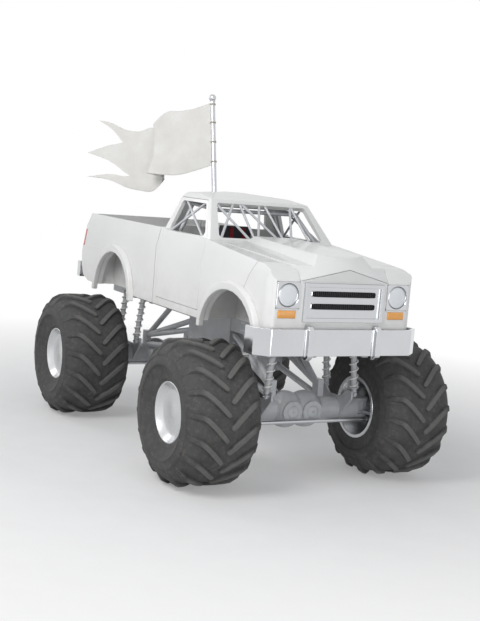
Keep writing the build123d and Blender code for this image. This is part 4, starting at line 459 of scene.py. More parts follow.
def light():
    """Pale light from all round, white where the background shows, and three soft boxes."""
    made = Nodes(bpy.data.worlds.new("studio"))
    bpy.context.scene.world = made.owner
    made.tree.nodes.clear()
    soft = made.add("ShaderNodeBackground", Color=(0.93, 0.96, 1, 1), Strength=0.36)
    white = made.add("ShaderNodeBackground", Color=(1, 1, 1, 1))
    out = made.add("ShaderNodeOutputWorld")
    mixed = made.mix_shaders(made.rays_that_show(), soft.outputs[0], white.outputs[0])
    made.link(mixed, out.inputs["Surface"])
    for number, (place, target, size, power) in enumerate(LAMPS):
        lamp = bpy.data.lights.new(f"softbox_{number}", "AREA")
        lamp.size = size
        lamp.energy = power
        obj = add_object(lamp.name, lamp)
        obj.location = place
        obj.rotation_euler = (Vector(place) - Vector(target)).to_track_quat("Z", "Y").to_euler()


def floor():
    """A pale floor that keeps the shadow near the truck and turns white further out."""
    made = Nodes(bpy.data.materials.new("pale_floor"))
    made.set(Roughness=0.9)
    tone = made.mix(made.ramp(made.noise(2.5, 4), 0.3, 0.7), (0.8, 0.8, 0.8), (0.83, 0.83, 0.83))
    made.drive("Base Color", tone)
    where = made.add("ShaderNodeNewGeometry")
    far = made.ramp(made.length(where.outputs["Position"]), *FLOOR_FADE, FLOOR_GLOW, 1.0)
    white = made.add("ShaderNodeEmission")
    shown = made.combine("MULTIPLY", far, made.rays_that_show())
    mixed = made.mix_shaders(shown, made.shader.outputs[0], white.outputs[0])
    made.link(mixed, made.tree.nodes["Material Output"].inputs["Surface"])
    bm = bmesh.new()
    bmesh.ops.create_circle(bm, cap_ends=True, segments=96, radius=FLOOR_RADIUS)
    obj = add_mesh_object("floor", bm, made.owner)
    obj.location.z = -0.001


view()
light()
floor()


# Wheels

CARCASS = (
    # distance from the middle plane, radius
    (0.0, 0.797), (0.1, 0.797), (0.2, 0.794), (0.28, 0.786), (0.34, 0.768), (0.385, 0.742),
    (0.42, 0.708), (0.445, 0.665), (0.462, 0.615), (0.47, 0.57), (0.471, 0.536),
)
LUG_TIPS = (
    # distance from the middle plane, radius that the lugs reach
    (0.0, TYRE_RADIUS), (0.285, TYRE_RADIUS), (0.38, 0.79), (0.4465, 0.69), (0.475, 0.56),
)
LUG_PATH = (
    # distance outwards from the middle plane, distance round the tread, half width
    (0.012, 0.0, 0.014), (0.03, 0.016, 0.026), (0.09, 0.078, 0.029), (0.16, 0.15, 0.029),
    (0.23, 0.216, 0.029), (0.29, 0.264, 0.03), (0.335, 0.288, 0.031), (0.375, 0.3, 0.032),
    (0.412, 0.306, 0.032), (0.436, 0.308, 0.027), (0.449, 0.308, 0.014),
)
LUG_SECTION = (
    # share of the half width, share of the height
    (-1.25, -0.25), (-1.06, 0.7), (-0.86, 0.97), (-0.4, 1),
    (0.4, 1), (0.86, 0.97), (1.06, 0.7), (1.25, -0.25),
)
LUG_END_SHARE = 0.75
LUG_INSET = 0.0015
LUGS = 18
LUG_PHASE = math.radians(-91.4)
INNER_WALL = (
    # radius and distance from the middle plane, from the carcass down to the rim
    (0.533, 0.468), (0.531, 0.459), (0.528, 0.4555), (0.5, 0.455), (0.47, 0.456), (0.44, 0.455),
    (0.412, 0.455), (0.404, 0.459), (0.386, 0.4595), (0.372, 0.456), (0.363, 0.455), (0.363, 0.43),
)
OUTER_WALL = (
    # the same, dished towards the rim
    (0.533, 0.468), (0.53, 0.459), (0.526, 0.4545), (0.49, 0.438), (0.44, 0.414), (0.4, 0.394),
    (0.392, 0.393), (0.374, 0.384), (0.366, 0.375), (0.358, 0.369), (0.3522, 0.3665),
    (0.3522, 0.345), (0.363, 0.335),
)
WALL_RIBS = ((0.64, 0.4535), (0.655, 0.4485), (0.548, 0.4705))
RIB_SECTION = ((0.004, -0.002), (0.0015, 0.003), (-0.0015, 0.003), (-0.004, -0.001))
RIM = (
    # radius and distance outwards from the middle plane: the dish's floor
    (TIP, 0.303), (0.06, 0.303), (0.066, 0.3025), (0.07, 0.302), (0.23, 0.302), (0.252, 0.3025),
    (0.264, 0.305), (0.271, 0.31),
    # its slope, the lip round its mouth and the edge under the tyre
    (0.329, 0.361), (0.333, 0.367), (0.338, 0.3705), (0.344, 0.3715), (0.349, 0.37),
    (0.352, 0.366), (0.352, 0.345), (0.355, 0.335),
    # the barrel and its inner flange
    (0.355, -0.435), (0.36, -0.455), (0.3815, -0.456), (0.3815, -0.461), (0.379, -0.465),
    (0.344, -0.465), (0.3415, -0.462), (0.339, -0.456),
    # the barrel's inside and the back of the dish
    (0.303, -0.278), (0.3005, -0.27), (0.3, -0.26), (0.3, 0.28), (0.29, 0.29), (0.213, 0.29),
    # the drum round the spindle
    (0.207, 0.284), (0.207, -0.04), (0.204, -0.05), (0.195, -0.055), (0.07, -0.055),
    (0.061, -0.055), (0.061, -0.02),
)


def add_lug(bm, side, phase):
    """One lug, from the tread's middle over the shoulder into the wall."""
    last = len(LUG_PATH) - 1
    rows = []
    for index, (off, around, half) in enumerate(LUG_PATH):
        before = LUG_PATH[max(index - 1, 0)]
        after = LUG_PATH[min(index + 1, last)]
        along = Vector((after[0] - before[0], after[1] - before[1])).normalized()
        across = Vector((-along.y, along.x))
        highest = LUG_END_SHARE if index in (0, last) else 1
        row = []
        for share, rise in LUG_SECTION:
            place = Vector((off, around)) + across * share * half
            low = between(CARCASS, abs(place.x))
            high = between(LUG_TIPS, abs(place.x)) - LUG_INSET
            radius = low + (high - low) * min(rise, highest)
            turn = phase + place.y / TYRE_RADIUS
            row.append(Vector((math.cos(turn) * radius, side * place.x, math.sin(turn) * radius)))
        rows.append(row)
    add_grid(bm, rows, caps=True)


def tyre_mesh(side):
    """Carcass with its two walls, staggered lugs and ribs."""
    bm = bmesh.new()
    crown = tuple((radius, off) for off, radius in CARCASS)
    inner = [(radius, -side * off) for radius, off in reversed(crown + INNER_WALL)]
    outer = [(radius, side * off) for radius, off in crown + OUTER_WALL]
    add_lathe(bm, (0, 0, 0), LEFT, inner[:-1] + outer, 144)
    for half in (-1, 1):
        stagger = 0 if half == side else 0.5
        for index in range(LUGS):
            add_lug(bm, half, LUG_PHASE + 2 * math.pi * (index + stagger) / LUGS)
        for radius, off in WALL_RIBS:
            rib = [(radius + out, half * (off + far)) for out, far in RIB_SECTION]
            add_lathe(bm, (0, 0, 0), LEFT, rib, 144)
    return bm


def rim_mesh(side):
    """Deep plain dish on the outside, stepped barrel and drum on the inside."""
    bm = bmesh.new()
    add_lathe(bm, (0, 0, 0), LEFT, [(radius, side * far) for radius, far in RIM], 96)
    return bm


def wheels():
    """Tyres and rims, each centred on its wheel's axis."""
    for suffix, axle_x, side in CORNERS:
        place = (axle_x, side * WHEEL_Y, AXLE_Z)
        for name, bm, material, slot, node in (
            ("tyre_lugged", tyre_mesh(side), RUBBER, "tyre_rubber", "tyre"),
            ("rim_dish", rim_mesh(side), RIM_METAL, "rim_metal", "rim"),
        ):
            finish_piece(
                f"{name}_{suffix}", bm, material, f"wheel_{suffix}",
                replaced=f"{node}_{suffix}", place=place, outwards=True,
            )


wheels()


# Dampers and springs

DAMPER_X = 0.3
DAMPER_FOOT = (0.61, 1.06)
DAMPER_TOP = (0.5, 2.04)
DAMPER_EYE = (
    (0.0145, -0.0195), (0.03, -0.0195), (0.0335, -0.016),
    (0.0335, 0.016), (0.03, 0.0195), (0.0145, 0.0195),
)
SPRING_WIRE = 0.0085
SPRING_RADIUS = 0.056 - SPRING_WIRE
SPRING_TURNS = 10
SPRING_SEAT = 0.09


def damper_lines():
    """Foot, top, direction, length and side of all eight dampers."""
    lines = []
    for axle_x in (FRONT_AXLE_X, REAR_AXLE_X):
        for side in (1, -1):
            for x in (axle_x + DAMPER_X, axle_x - DAMPER_X):
                foot, top = (Vector((x, side * y, z)) for y, z in (DAMPER_FOOT, DAMPER_TOP))
                lines.append((foot, top, (top - foot).normalized(), (top - foot).length, side))
    return lines


def dampers():
    """Painted bodies, bright rods, round perches and eyes with their bolts."""
    bodies = bmesh.new()
    rods = bmesh.new()
    for foot, top, axis, length, side in damper_lines():
        seal = length * 0.62
        body = (
            (TIP, 0.03), (0.03, 0.03), (0.0355, 0.036), (0.0355, seal - 0.034), (0.0385, seal - 0.032),
            (0.0385, seal - 0.004), (0.036, seal), (0.0165, seal), (0.0165, seal - 0.01),
        )
        add_lathe(bodies, foot, axis, body, 28)
        for low in (0.078, length - 0.09):
            perch = (
                (0.0165, low), (0.055, low), (0.0575, low + 0.002), (0.0575, low + 0.01),
                (0.055, low + 0.012), (0.0165, low + 0.012),
            )
            add_lathe(bodies, foot, axis, perch, 32)
        rod = (
            (TIP, seal - 0.02), (0.016, seal - 0.02), (0.016, length - 0.03), (0.022, length - 0.026),
            (TIP, length - 0.026),
        )
        add_lathe(rods, foot, axis, rod, 20)
        for centre in (foot, top):
            add_lathe(bodies, centre, LEFT, DAMPER_EYE, 24, close=True)
            add_bolt(rods, centre + LEFT * side * 0.0285, LEFT * side, 0.015, 0.01)
    finish_piece("damper_bodies", bodies, CHASSIS, replaced="dampers", outwards=True)
    finish_piece("damper_rods", rods, CHROME, outwards=True)


def springs():
    """Eight coil springs with level end turns."""
    steps = SPRING_TURNS * 20
    bm = bmesh.new()
    for foot, _, axis, length, _ in damper_lines():
        low = foot + axis * SPRING_SEAT
        rise = length - 2 * SPRING_SEAT - 2 * SPRING_WIRE
        across, up = axes_for(axis)
        points = []
        for index in range(steps + 1):
            share = index / steps
            angle = 2 * math.pi * SPRING_TURNS * share
            height = SPRING_WIRE + rise * min(max((share - 0.06) / 0.88, 0), 1)
            out = across * math.cos(angle) + up * math.sin(angle)
            points.append(low + axis * height + out * SPRING_RADIUS)
        add_tube(bm, points, SPRING_WIRE, 8)
    finish_piece("coil_springs", bm, SPRING, angle=60, replaced="springs")


dampers()
springs()


# Axles, tie rods, links and drive line

BALLS_Y = (0.113, -0.158)
BALL_RADIUS = 0.2206
TUBE_RADIUS = 0.1406
TUBE_END_RADIUS = 0.1256
YOKE_Y = 0.82
SHAFT_Y = sum(BALLS_Y) / 2
COVER = (
    # radius and distance from the axle's centre line: flange, joint and dome
    (0.1312, 0.15), (0.1312, 0.186), (0.125, 0.189), (0.125, 0.192), (0.1312, 0.195), (0.1312, 0.2035),
    (0.129, 0.206), (0.102, 0.2065), (0.078, 0.2072), (0.074, 0.213), (0.064, 0.22),
    (0.04, 0.2245), (TIP, 0.226),
)
PINION_NOSE = (
    (0.099, 0.17), (0.086, 0.215), (0.0806, 0.235), (0.0806, 0.288), (0.078, 0.3), (TIP, 0.3),
)
TIE_ROD_HALF = (
    # radius and distance from the middle: end, nut, neck and rod
    (0.0155, 0.925), (0.0155, 0.88), (0.0215, 0.878), (0.0215, 0.862), (0.017, 0.86),
    (0.017, 0.85), (0.022, 0.842), (0.0222, 0.7),
)
TIE_ROD_EYE = (
    (0.0125, -0.018), (0.025, -0.018), (0.0282, -0.014),
    (0.0282, 0.014), (0.025, 0.018), (0.0125, 0.018),
)
LINK_Y = 0.33
SHAFT_FLANGE = (
    (TIP, -0.012), (0.04, -0.012), (0.0455, 0.0), (0.072, 0.002), (0.072, 0.021),
    (0.07, 0.0245), (TIP, 0.0245),
)


def add_housing(bm, centre):
    """Two smooth balls between tapering tubes, with a weld bead at each meeting."""
    meeting = math.acos(-(BALLS_Y[0] - BALLS_Y[1]) / 2 / BALL_RADIUS)
    neck = math.asin(TUBE_RADIUS / BALL_RADIUS)
    profile = [(TUBE_END_RADIUS, YOKE_Y)]
    profile += ball_outline(BALLS_Y[0], BALL_RADIUS, neck, meeting)
    profile += ball_outline(BALLS_Y[1], BALL_RADIUS, math.pi - meeting, math.pi - neck)[1:]
    profile.append((TUBE_END_RADIUS, -YOKE_Y))
    add_lathe(bm, centre, LEFT, profile, 72)
    reach = BALL_RADIUS * math.cos(neck)
    beads = (
        # place along Y, radius, wire, steps
        (YOKE_Y - 0.004, TUBE_END_RADIUS, 0.006, 60),
        (0.004 - YOKE_Y, TUBE_END_RADIUS, 0.006, 60),
        (BALLS_Y[0] + reach, TUBE_RADIUS, 0.007, 60),
        (BALLS_Y[1] - reach, TUBE_RADIUS, 0.007, 60),
        (SHAFT_Y, BALL_RADIUS * math.sin(meeting), 0.009, 72),
    )
    for y, radius, wire, steps in beads:
        add_ring(bm, centre + LEFT * y, LEFT, radius, wire, steps)


def axles():
    """Round castings over the flat-sided housings, with bolted covers and the pinion's nose."""
    for end, axle_x, outwards in AXLES:
        centre = Vector((axle_x, 0, AXLE_Z))
        ahead = Vector((outwards, 0, 0))
        bm = bmesh.new()
        add_housing(bm, centre)
        for ball_y in BALLS_Y:
            cover = centre + LEFT * ball_y
            add_lathe(bm, cover, ahead, COVER, 64)
            add_bolt_circle(bm, cover + ahead * 0.2062, ahead, 0.1145, 10, 0.0085, 0.0035)
            add_bolt(bm, cover + ahead * 0.2258, ahead, 0.014, 0.01)
        add_lathe(bm, centre + Vector((0, SHAFT_Y, 0.03)), -ahead, PINION_NOSE, 48)
        finish_piece(f"{end}_axle_castings", bm, CHASSIS)


def tie_rods():
    """Round rods with a nut near each end and their two eyes."""
    profile = TIE_ROD_HALF + tuple((radius, -far) for radius, far in reversed(TIE_ROD_HALF))
    for end, axle_x, _ in AXLES:
        bm = bmesh.new()
        centre = Vector((axle_x + 0.25, 0, AXLE_Z - 0.1))
        add_lathe(bm, centre, LEFT, profile, 24)
        for side in (-1, 1):
            add_lathe(bm, centre + LEFT * side * 0.95, (0, 0, 1), TIE_ROD_EYE, 28, close=True)
        node = f"tie_rod_{end}"
        finish_piece(f"tie_rod_round_{end}", bm, STEEL, node, replaced=node, outwards=True)


def links():
    """Round link tubes, each with a collar near its head."""
    bm = bmesh.new()
    for axle_x, inwards, cradle_x in ((FRONT_AXLE_X, -1, 1.0), (REAR_AXLE_X, 1, -0.13)):
        foot_x = axle_x + inwards * 0.1
        seat_x = cradle_x + inwards * 0.004
        rows = (
            # foot height, head place, head height
            (1.12, seat_x, 1.56), (1.12, seat_x, 1.43), (0.99, seat_x, 1.165),
            (1.12, foot_x + inwards * 0.78, 1.69),
        )
        for side in (-1, 1):
            for foot_z, head_x, head_z in rows:
                foot = Vector((foot_x, side * LINK_Y, foot_z))
                axis = Vector((head_x, side * LINK_Y, head_z)) - foot
                length = axis.length
                tube = (
                    (TIP, 0.0), (0.0385, 0.0), (0.0385, length - 0.085), (0.042, length - 0.08),
                    (0.042, length - 0.05), (0.0385, length - 0.045), (0.0385, length), (TIP, length),
                )
                add_lathe(bm, foot, axis, tube, 26)
    finish_piece("link_tubes", bm, CHASSIS, replaced="link_bars")


def drive_line():
    """Two round shafts with their flanges, yokes and crosses."""
    bm = bmesh.new()
    for case_x, pinion_x, inwards in ((0.72, 1.719, -1), (0.15, -1.319, 1)):
        start = Vector((case_x, SHAFT_Y, 1.33))
        finish = Vector((pinion_x, SHAFT_Y, 0.868))
        axis = (finish - start).normalized()
        up = axis.cross(LEFT)
        length = (finish - start).length
        for place, along in ((start, inwards), (finish, -inwards)):
            add_lathe(bm, place, (along, 0, 0), SHAFT_FLANGE, 36)
            add_bolt_circle(bm, place, (-along, 0, 0), 0.058, 4, 0.009, 0.01)
        tube = (
            (TIP, 0.085), (0.03, 0.085), (0.04, 0.11), (0.0452, 0.135), (0.0452, length - 0.135),
            (0.04, length - 0.11), (0.03, length - 0.085), (TIP, length - 0.085),
        )
        add_lathe(bm, start, axis, tube, 32)
        for place, sign in ((start, 1), (finish, -1)):
            cross = place + axis * sign * 0.055
            for pin, ear_way in ((LEFT, sign), (up, -sign)):
                add_tube(bm, (cross - pin * 0.048, cross + pin * 0.048), 0.0125, 14)
                for turn in (-1, 1):
                    ear = cross + pin * turn * 0.036
                    add_tube(bm, (ear, ear + axis * ear_way * 0.045), 0.014, 10)
    finish_piece("drive_shafts_round", bm, STEEL, replaced="drive_shafts")


axles()
tie_rods()
links()
drive_line()


# Flag

FLAG_COLUMNS = 150
FLAG_ROWS = 60
RUN_STEPS = 600
# the pole's rear face at the foot of the flag
HOIST_X = -0.571
HOIST_Z = 3.64
FLAG_STATIONS = (
    # x, y, height of the top edge, height of the bottom edge
    (0.0, 0.0, 4.467, 3.625), (-0.14, -0.2, 4.365, 3.528), (-0.3, -0.36, 4.312, 3.452),
    (-0.46, -0.47, 4.29, 3.43), (-0.625, -0.6, 4.128, 3.43), (-0.69, -0.56, 4.06, 3.41),
    (-0.7, -0.45, 4.06, 3.37), (-0.85, -0.54, 4.06, 3.19), (-1.0, -0.66, 4.0, 3.18),
    (-1.15, -0.8, 4.01, 3.208), (-1.35, -0.98, 4.1, 3.29), (-1.625, -1.212, 4.115, 3.31),
)
TORN_END = (
    # height share from the bottom edge, how far along the cloth it ends there
    (0.0, 1.0), (0.22, 0.695), (0.42, 1.0), (0.757, 0.735), (1.0, 0.91),
)


def smooth_station(share):
    """Point on the flag's run, from a smooth curve through its stations."""
    last = len(FLAG_STATIONS) - 1
    index = min(int(share * last), last - 1)
    local = share * last - index
    rows = [FLAG_STATIONS[min(max(index + k, 0), last)] for k in (-1, 0, 1, 2)]
    values = []
    for before, first, second, after in zip(*rows):
        slope = second - before
        bend = 2 * before - 5 * first + 4 * second - after
        twist = 3 * first - before - 3 * second + after
        values.append(0.5 * (2 * first + slope * local + bend * local ** 2 + twist * local ** 3))
    return values


def cloth_run():
    """Distance along the cloth at even steps of the curve."""
    fine = [smooth_station(step / RUN_STEPS) for step in range(RUN_STEPS + 1)]
    run = [0.0]
    for before, after in zip(fine, fine[1:]):
        run.append(run[-1] + math.dist(before[:2], after[:2]))
    return run


def curve_share(run, far):
    """Share of the curve at a distance along the cloth."""
    index = min(bisect.bisect_right(run, far) - 1, RUN_STEPS - 1)
    return (index + (far - run[index]) / (run[index + 1] - run[index])) / RUN_STEPS


def torn_reach(height):
    """How far along the cloth the torn edge is, at a height share from the bottom."""
    for (low, first), (high, second) in zip(TORN_END, TORN_END[1:]):
        if height <= high:
            share = (height - low) / (high - low)
            curved = share ** 0.8 if second < first else share ** 1.25
            return first + (second - first) * curved + 0.004 * math.sin(27 * height)


def cloth_point(far, height, place):
    """Point of the blown cloth: share along it, height share and share of the curve."""
    x, y, top, bottom = smooth_station(place)
    # the low corner of the first fold is blown further out
    blown = math.exp(-((place - 0.37) / 0.055) ** 2) * (1 - height) ** 3
    x -= 0.055 * blown
    y -= 0.09 * blown
    z = bottom + (top - bottom) * height
    back = (z - HOIST_Z) * math.tan(POLE_LEAN)
    wave = 0.016 * math.sin(9 * far + 3 * height) + 0.012 * math.sin(23 * far - 5 * height)
    wave += 0.02 * noise.noise(Vector((far * 5, height * 3, 1.7)))
    # the cloth is held still at the pole
    wave *= min(far * 4, 1)
    before = smooth_station(max(place - 0.004, 0))
    after = smooth_station(min(place + 0.004, 1))
    along = Vector((after[0] - before[0], after[1] - before[1])).normalized()
    return Vector((HOIST_X + x - back - along.y * wave, y + along.x * wave, z))


def flag():
    """The torn flag: one sheet in two folds, waving a little."""
    run = cloth_run()
    length = run[-1]
    bm = bmesh.new()
    grid = []
    for row in range(FLAG_ROWS + 1):
        height = row / FLAG_ROWS
        end = torn_reach(height)
        line = []
        for column in range(FLAG_COLUMNS + 1):
            far = min(end * column / FLAG_COLUMNS, 1.0)
            line.append(cloth_point(far, height, curve_share(run, far * length)))
        grid.append(line)
    add_grid(bm, grid, close_columns=False)
    area = sum(face.calc_area() for face in bm.faces)
    obj = finish_piece("flag_torn_cloth", bm, CLOTH, angle=180, replaced="flag")
    thick = obj.modifiers.new("thickness", "SOLIDIFY")
    thick.thickness = 0.003
    thick.offset = 0


flag()


# Flag pole

POLE_FOOT = Vector((-0.246, 0.0, 2.168))
POLE_AXIS = Vector((-math.sin(POLE_LEAN), 0, math.cos(POLE_LEAN)))
POLE_LENGTH = 2.422
POLE = (
    (TIP, 0.012), (0.0338, 0.012), (0.0338, POLE_LENGTH - 0.062), (0.03, POLE_LENGTH - 0.05),
    (TIP, POLE_LENGTH - 0.05),
)
POLE_PLATE = (
    (TIP, 0.0005), (0.0455, 0.0005), (0.0458, 0.003), (0.0458, 0.011), (0.044, 0.0135), (TIP, 0.0135),
)
TOP_BALL_RADIUS = 0.0495
TOP_BALL_PLACE = POLE_LENGTH - 0.01
TIE_HEIGHTS = (3.665, 3.93, 4.19, 4.435)


def flag_pole():
    """Round pole with foot plate and top ball, and the double rings that tie the flag on."""
    bm = bmesh.new()
    add_lathe(bm, POLE_FOOT, POLE_AXIS, POLE, 32)
    ball = ball_outline(TOP_BALL_PLACE, TOP_BALL_RADIUS, 0.97 * math.pi, 0.03 * math.pi, 14)
    add_lathe(bm, POLE_FOOT, POLE_AXIS, ball, 32)
    add_ring(bm, POLE_FOOT + POLE_AXIS * (POLE_LENGTH - 0.055), POLE_AXIS, 0.034, 0.006, 32)
    add_lathe(bm, POLE_FOOT, (0, 0, 1), POLE_PLATE, 36)
    finish_piece("flag_pole_round", bm, STEEL, replaced="flag_pole")
    ties = bmesh.new()
    for height in TIE_HEIGHTS:
        far = (height - POLE_FOOT.z) / POLE_AXIS.z
        for lift in (-0.006, 0.006):
            add_ring(ties, POLE_FOOT + POLE_AXIS * (far + lift), POLE_AXIS, 0.0375, 0.0048, 32)
    finish_piece("flag_ties", ties, CORD, angle=60)


flag_pole()


# Roll cage, window braces and the cab's inside

CAGE_BELT_Y = 0.76
CAGE_TOP_Y = 0.585
CAGE_POST_Z = (1.846, 2.7)
# x of the posts, x and height of the top
CAGE_HOOPS = ((0.075, 0.075, 3.11), (1.008, 0.7, 3.07))
CAGE_CROSSBARS = ((0.075, CAGE_TOP_Y, 3.11), (0.7, CAGE_TOP_Y, 3.07), (0.075, CAGE_BELT_Y, 2.35))
WINDSHIELD_RISE = (-0.393, 0.47)
WINDSHIELD_FOOT = Vector((1.183, 0, 2.735))
WINDSHIELD_BRACES = (
    # foot and head, to the truck's left
    (-0.715, -0.395), (-0.3, -0.64), (-0.235, -0.3), (-0.19, -0.02),
    (0.13, -0.27), (0.19, 0.06), (0.29, 0.43), (0.56, 0.445),
)
SIDE_WINDOW = ((-0.012, 0.8568, 2.72), (0.965, 0.8568, 2.72), (0.6896, 0.682, 3.172), (0.068, 0.682, 3.172))
STEERING_COLUMN = (
    (TIP, 0.002), (0.0255, 0.002), (0.0255, 0.1), (0.02, 0.11), (0.02, 0.14), (0.045, 0.144),
    (0.048, 0.15), (0.046, 0.16), (0.03, 0.166), (TIP, 0.168),
)
GAUGE_RIM = ((0.034, -0.004), (0.037, 0.004), (0.0345, 0.009), (0.031, 0.006), (0.03, 0.0))
GAUGE_DIAL = ((TIP, 0.003), (0.0305, 0.003), (0.0305, -0.002))


def cage():
    """Round tubes over the cage's flat-sided bars, with a ball at each bend."""
    bm = bmesh.new()
    lines = []
    bends = []
    for side in (-1, 1):
        tops = []
        for post_x, top_x, top_z in CAGE_HOOPS:
            foot, belt = [(post_x, side * CAGE_BELT_Y, z) for z in CAGE_POST_Z]
            top = (top_x, side * CAGE_TOP_Y, top_z)
            lines += [(foot, belt), (belt, top)]
            bends += [belt, top]
            tops.append(top)
        lines.append(tops)
    for x, y, z in CAGE_CROSSBARS:
        lines.append(((x, -y, z), (x, y, z)))
    add_rods(bm, lines, 0.0246, 20)
    for bend in bends:
        place = Matrix.Translation(bend)
        bmesh.ops.create_uvsphere(bm, u_segments=20, v_segments=12, radius=0.0262, matrix=place)
    finish_piece("roll_cage_tubes", bm, CAGE)


def windshield_braces():
    """The slim round braces across the windshield."""
    back, rise = WINDSHIELD_RISE
    up = Vector((back, 0, rise)).normalized()
    inwards = Vector((-rise, 0, back)).normalized()
    height = math.hypot(back, rise)
    base = WINDSHIELD_FOOT + inwards * 0.025
    lines = []
    for foot, head in WINDSHIELD_BRACES:
        start = base + up * 0.03 + LEFT * foot
        end = base + up * (height - 0.045) + LEFT * head
        lines.append((start, end))
    bm = bmesh.new()
    add_rods(bm, lines, 0.0156, 16)
    finish_piece("windshield_brace_tubes", bm, CAGE)


def side_window_braces():
    """The two crossed braces in each side window."""
    for name, side in SIDES:
        corners = [Vector((x, side * y, z)) for x, y, z in SIDE_WINDOW]
        lines = []
        for first, second in ((0, 2), (1, 3)):
            along = (corners[second] - corners[first]).normalized() * 0.042
            lines.append((corners[first] + along, corners[second] - along))
        bm = bmesh.new()
        add_rods(bm, lines, 0.0154, 16)
        finish_piece(f"window_brace_tubes_{name}", bm, CAGE, f"door_{name}")


def steering_wheel():
    """Padded rim, three spokes, hub and column."""
    centre = Vector((0.773, 0, 2.54))
    foot = Vector((0.915, 0, 2.48))
    axis = (centre - foot).normalized()
    bm = bmesh.new()
    add_ring(bm, centre, axis, 0.175, 0.0148, 56)
    for out in (LEFT, -LEFT, axis.cross(LEFT)):
        add_tube(bm, (centre + out * 0.03, centre + out * 0.168), 0.0095, 10)
    add_lathe(bm, foot, axis, STEERING_COLUMN, 28)
    finish_piece("steering_wheel_round", bm, DARK, angle=45, replaced="steering_wheel")


def dashboard_gauges():
    """Four round gauges with needles on the dashboard."""
    dials = bmesh.new()
    rims = bmesh.new()
    normal = Vector((-0.894, 0, 0.447))
    needle = (LEFT * 0.6 + normal.cross(LEFT) * 0.8) * 0.022
    for y in (-0.19, -0.065, 0.065, 0.19):
        spot = Vector((0.9, y, 2.6)) + normal * 0.001
        add_lathe(rims, spot, normal, GAUGE_RIM, 32)
        add_lathe(dials, spot, normal, GAUGE_DIAL, 32)
        pivot = spot + normal * 0.0045
        add_tube(rims, (pivot, pivot + needle), 0.0011, 6)
    finish_piece("gauge_rims", rims, CHROME)
    finish_piece("gauge_dials", dials, SPRING)


def strap_row(spot, half, thick):
    """Corners of a flat strap's section, from vectors across it and through it."""
    return [spot - half, spot + half, spot + half + thick, spot - half + thick]


def harness():
    """Two shoulder straps over the seat's back and a lap strap."""
    bm = bmesh.new()
    back_low = Vector((0.361, 0, 2.19))
    back_high = Vector((0.243, 0, 2.835))
    along = (back_high - back_low).normalized()
    out = Vector((along.z, 0, -along.x))
    for y in (-0.085, 0.085):
        rows = []
        for step in range(13):
            share = step / 12
            spot = back_low.lerp(back_high, share) + out * (0.006 + 0.004 * math.sin(share * 9 + y * 30))
            spot.y = y * (0.45 + 0.55 * min(share * 2.2, 1))
            rows.append(strap_row(spot, LEFT * 0.024, out * 0.003))
        add_grid(bm, rows, caps=True)
    lap = []
    for step in range(15):
        share = step / 14
        crown = math.sin(math.pi * share)
        spot = Vector((0.425 + 0.02 * crown, -0.195 + 0.39 * share, 2.176 + 0.022 * crown))
        lap.append(strap_row(spot, Vector((0.022, 0, 0)), Vector((0, 0, 0.003))))
    add_grid(bm, lap, caps=True)
    finish_piece("harness_straps", bm, STRAP)


cage()
windshield_braces()
side_window_braces()
steering_wheel()
dashboard_gauges()
harness()


# Lamps, grille and body trim

NOSE_X = 2.83
LAMP_Y = 0.731
LAMP_Z = 2.29
BEZEL = (
    # distance ahead of the nose, half width and, where it isn't round, squareness
    (-0.04, 0.112), (-0.018, 0.129), (0.006, 0.1295), (0.0115, 0.134),
    (0.0115, 0.14, 14), (0.0095, 0.147, 14), (0.004, 0.1495, 14), (-0.09, 0.1495, 14),
)
LAMP_GLASS = (
    (-0.03, 0.118), (-0.004, 0.118), (0.0005, 0.115), (0.005, 0.1), (0.0085, 0.08),
    (0.007, 0.078), (0.009, 0.076), (0.0112, 0.05), (0.012, 0.02), (0.0121, 0.0005),
)
INDICATOR_ROWS = (
    # height, how far the glass stands out
    (2.0352, 0.0), (2.0385, 0.006), (2.048, 0.01), (2.109, 0.01), (2.1185, 0.006), (2.1218, 0.0),
)
INDICATOR_HALF = 0.1148
FLUTE_PITCH = 0.0164
SLOTS_Z = (2.1722, 2.31076)
CROSS_MEMBERS_X = (2.604, 1.924, 1.294, -0.944, -1.764, -2.444)


def face_row(x, y, z, half, power=2):
    """Points round the X axis, on a circle or, for a high power, nearly on a square."""
    row = []
    for c, s in circle(96, 0.5):
        reach = half / (abs(c) ** power + abs(s) ** power) ** (1 / power)
        row.append((x, y + reach * c, z + reach * s))
    return row


def indicator_row(y, z, rise):
    """One level line of an indicator's fluted glass, with its back on both sides."""
    row = [(NOSE_X - 0.06, y - INDICATOR_HALF, z)]
    for index in range(93):
        place = -INDICATOR_HALF + 2 * INDICATOR_HALF * index / 92
        edge = min(abs(abs(place) - INDICATOR_HALF) / 0.012, 1)
        flute = 0.0022 * abs(math.sin(place * math.pi / FLUTE_PITCH))
        row.append((NOSE_X - 0.002 + rise * math.sqrt(edge) + flute * edge, y + place, z))
    row.append((NOSE_X - 0.06, y + INDICATOR_HALF, z))
    return row


def head_lamps():
    """Chrome bezels, stepped round glass in them and fluted amber indicators."""
    bezels = bmesh.new()
    glass = bmesh.new()
    amber = bmesh.new()
    for y in (-LAMP_Y, LAMP_Y):
        for bm, outline in ((bezels, BEZEL), (glass, LAMP_GLASS)):
            add_grid(bm, [face_row(NOSE_X + ahead, y, LAMP_Z, *shape) for ahead, *shape in outline])
        add_ring(bezels, (NOSE_X, y, LAMP_Z), (1, 0, 0), 0.1185, 0.0045, 96)
        add_grid(amber, [indicator_row(y, z, rise) for z, rise in INDICATOR_ROWS], caps=True)
    finish_piece("headlamp_bezels", bezels, CHROME, replaced="front_lamps", outwards=True)
    finish_piece("headlamp_glass", glass, LENS, outwards=True)
    finish_piece("indicator_glass", amber, AMBER, outwards=True)


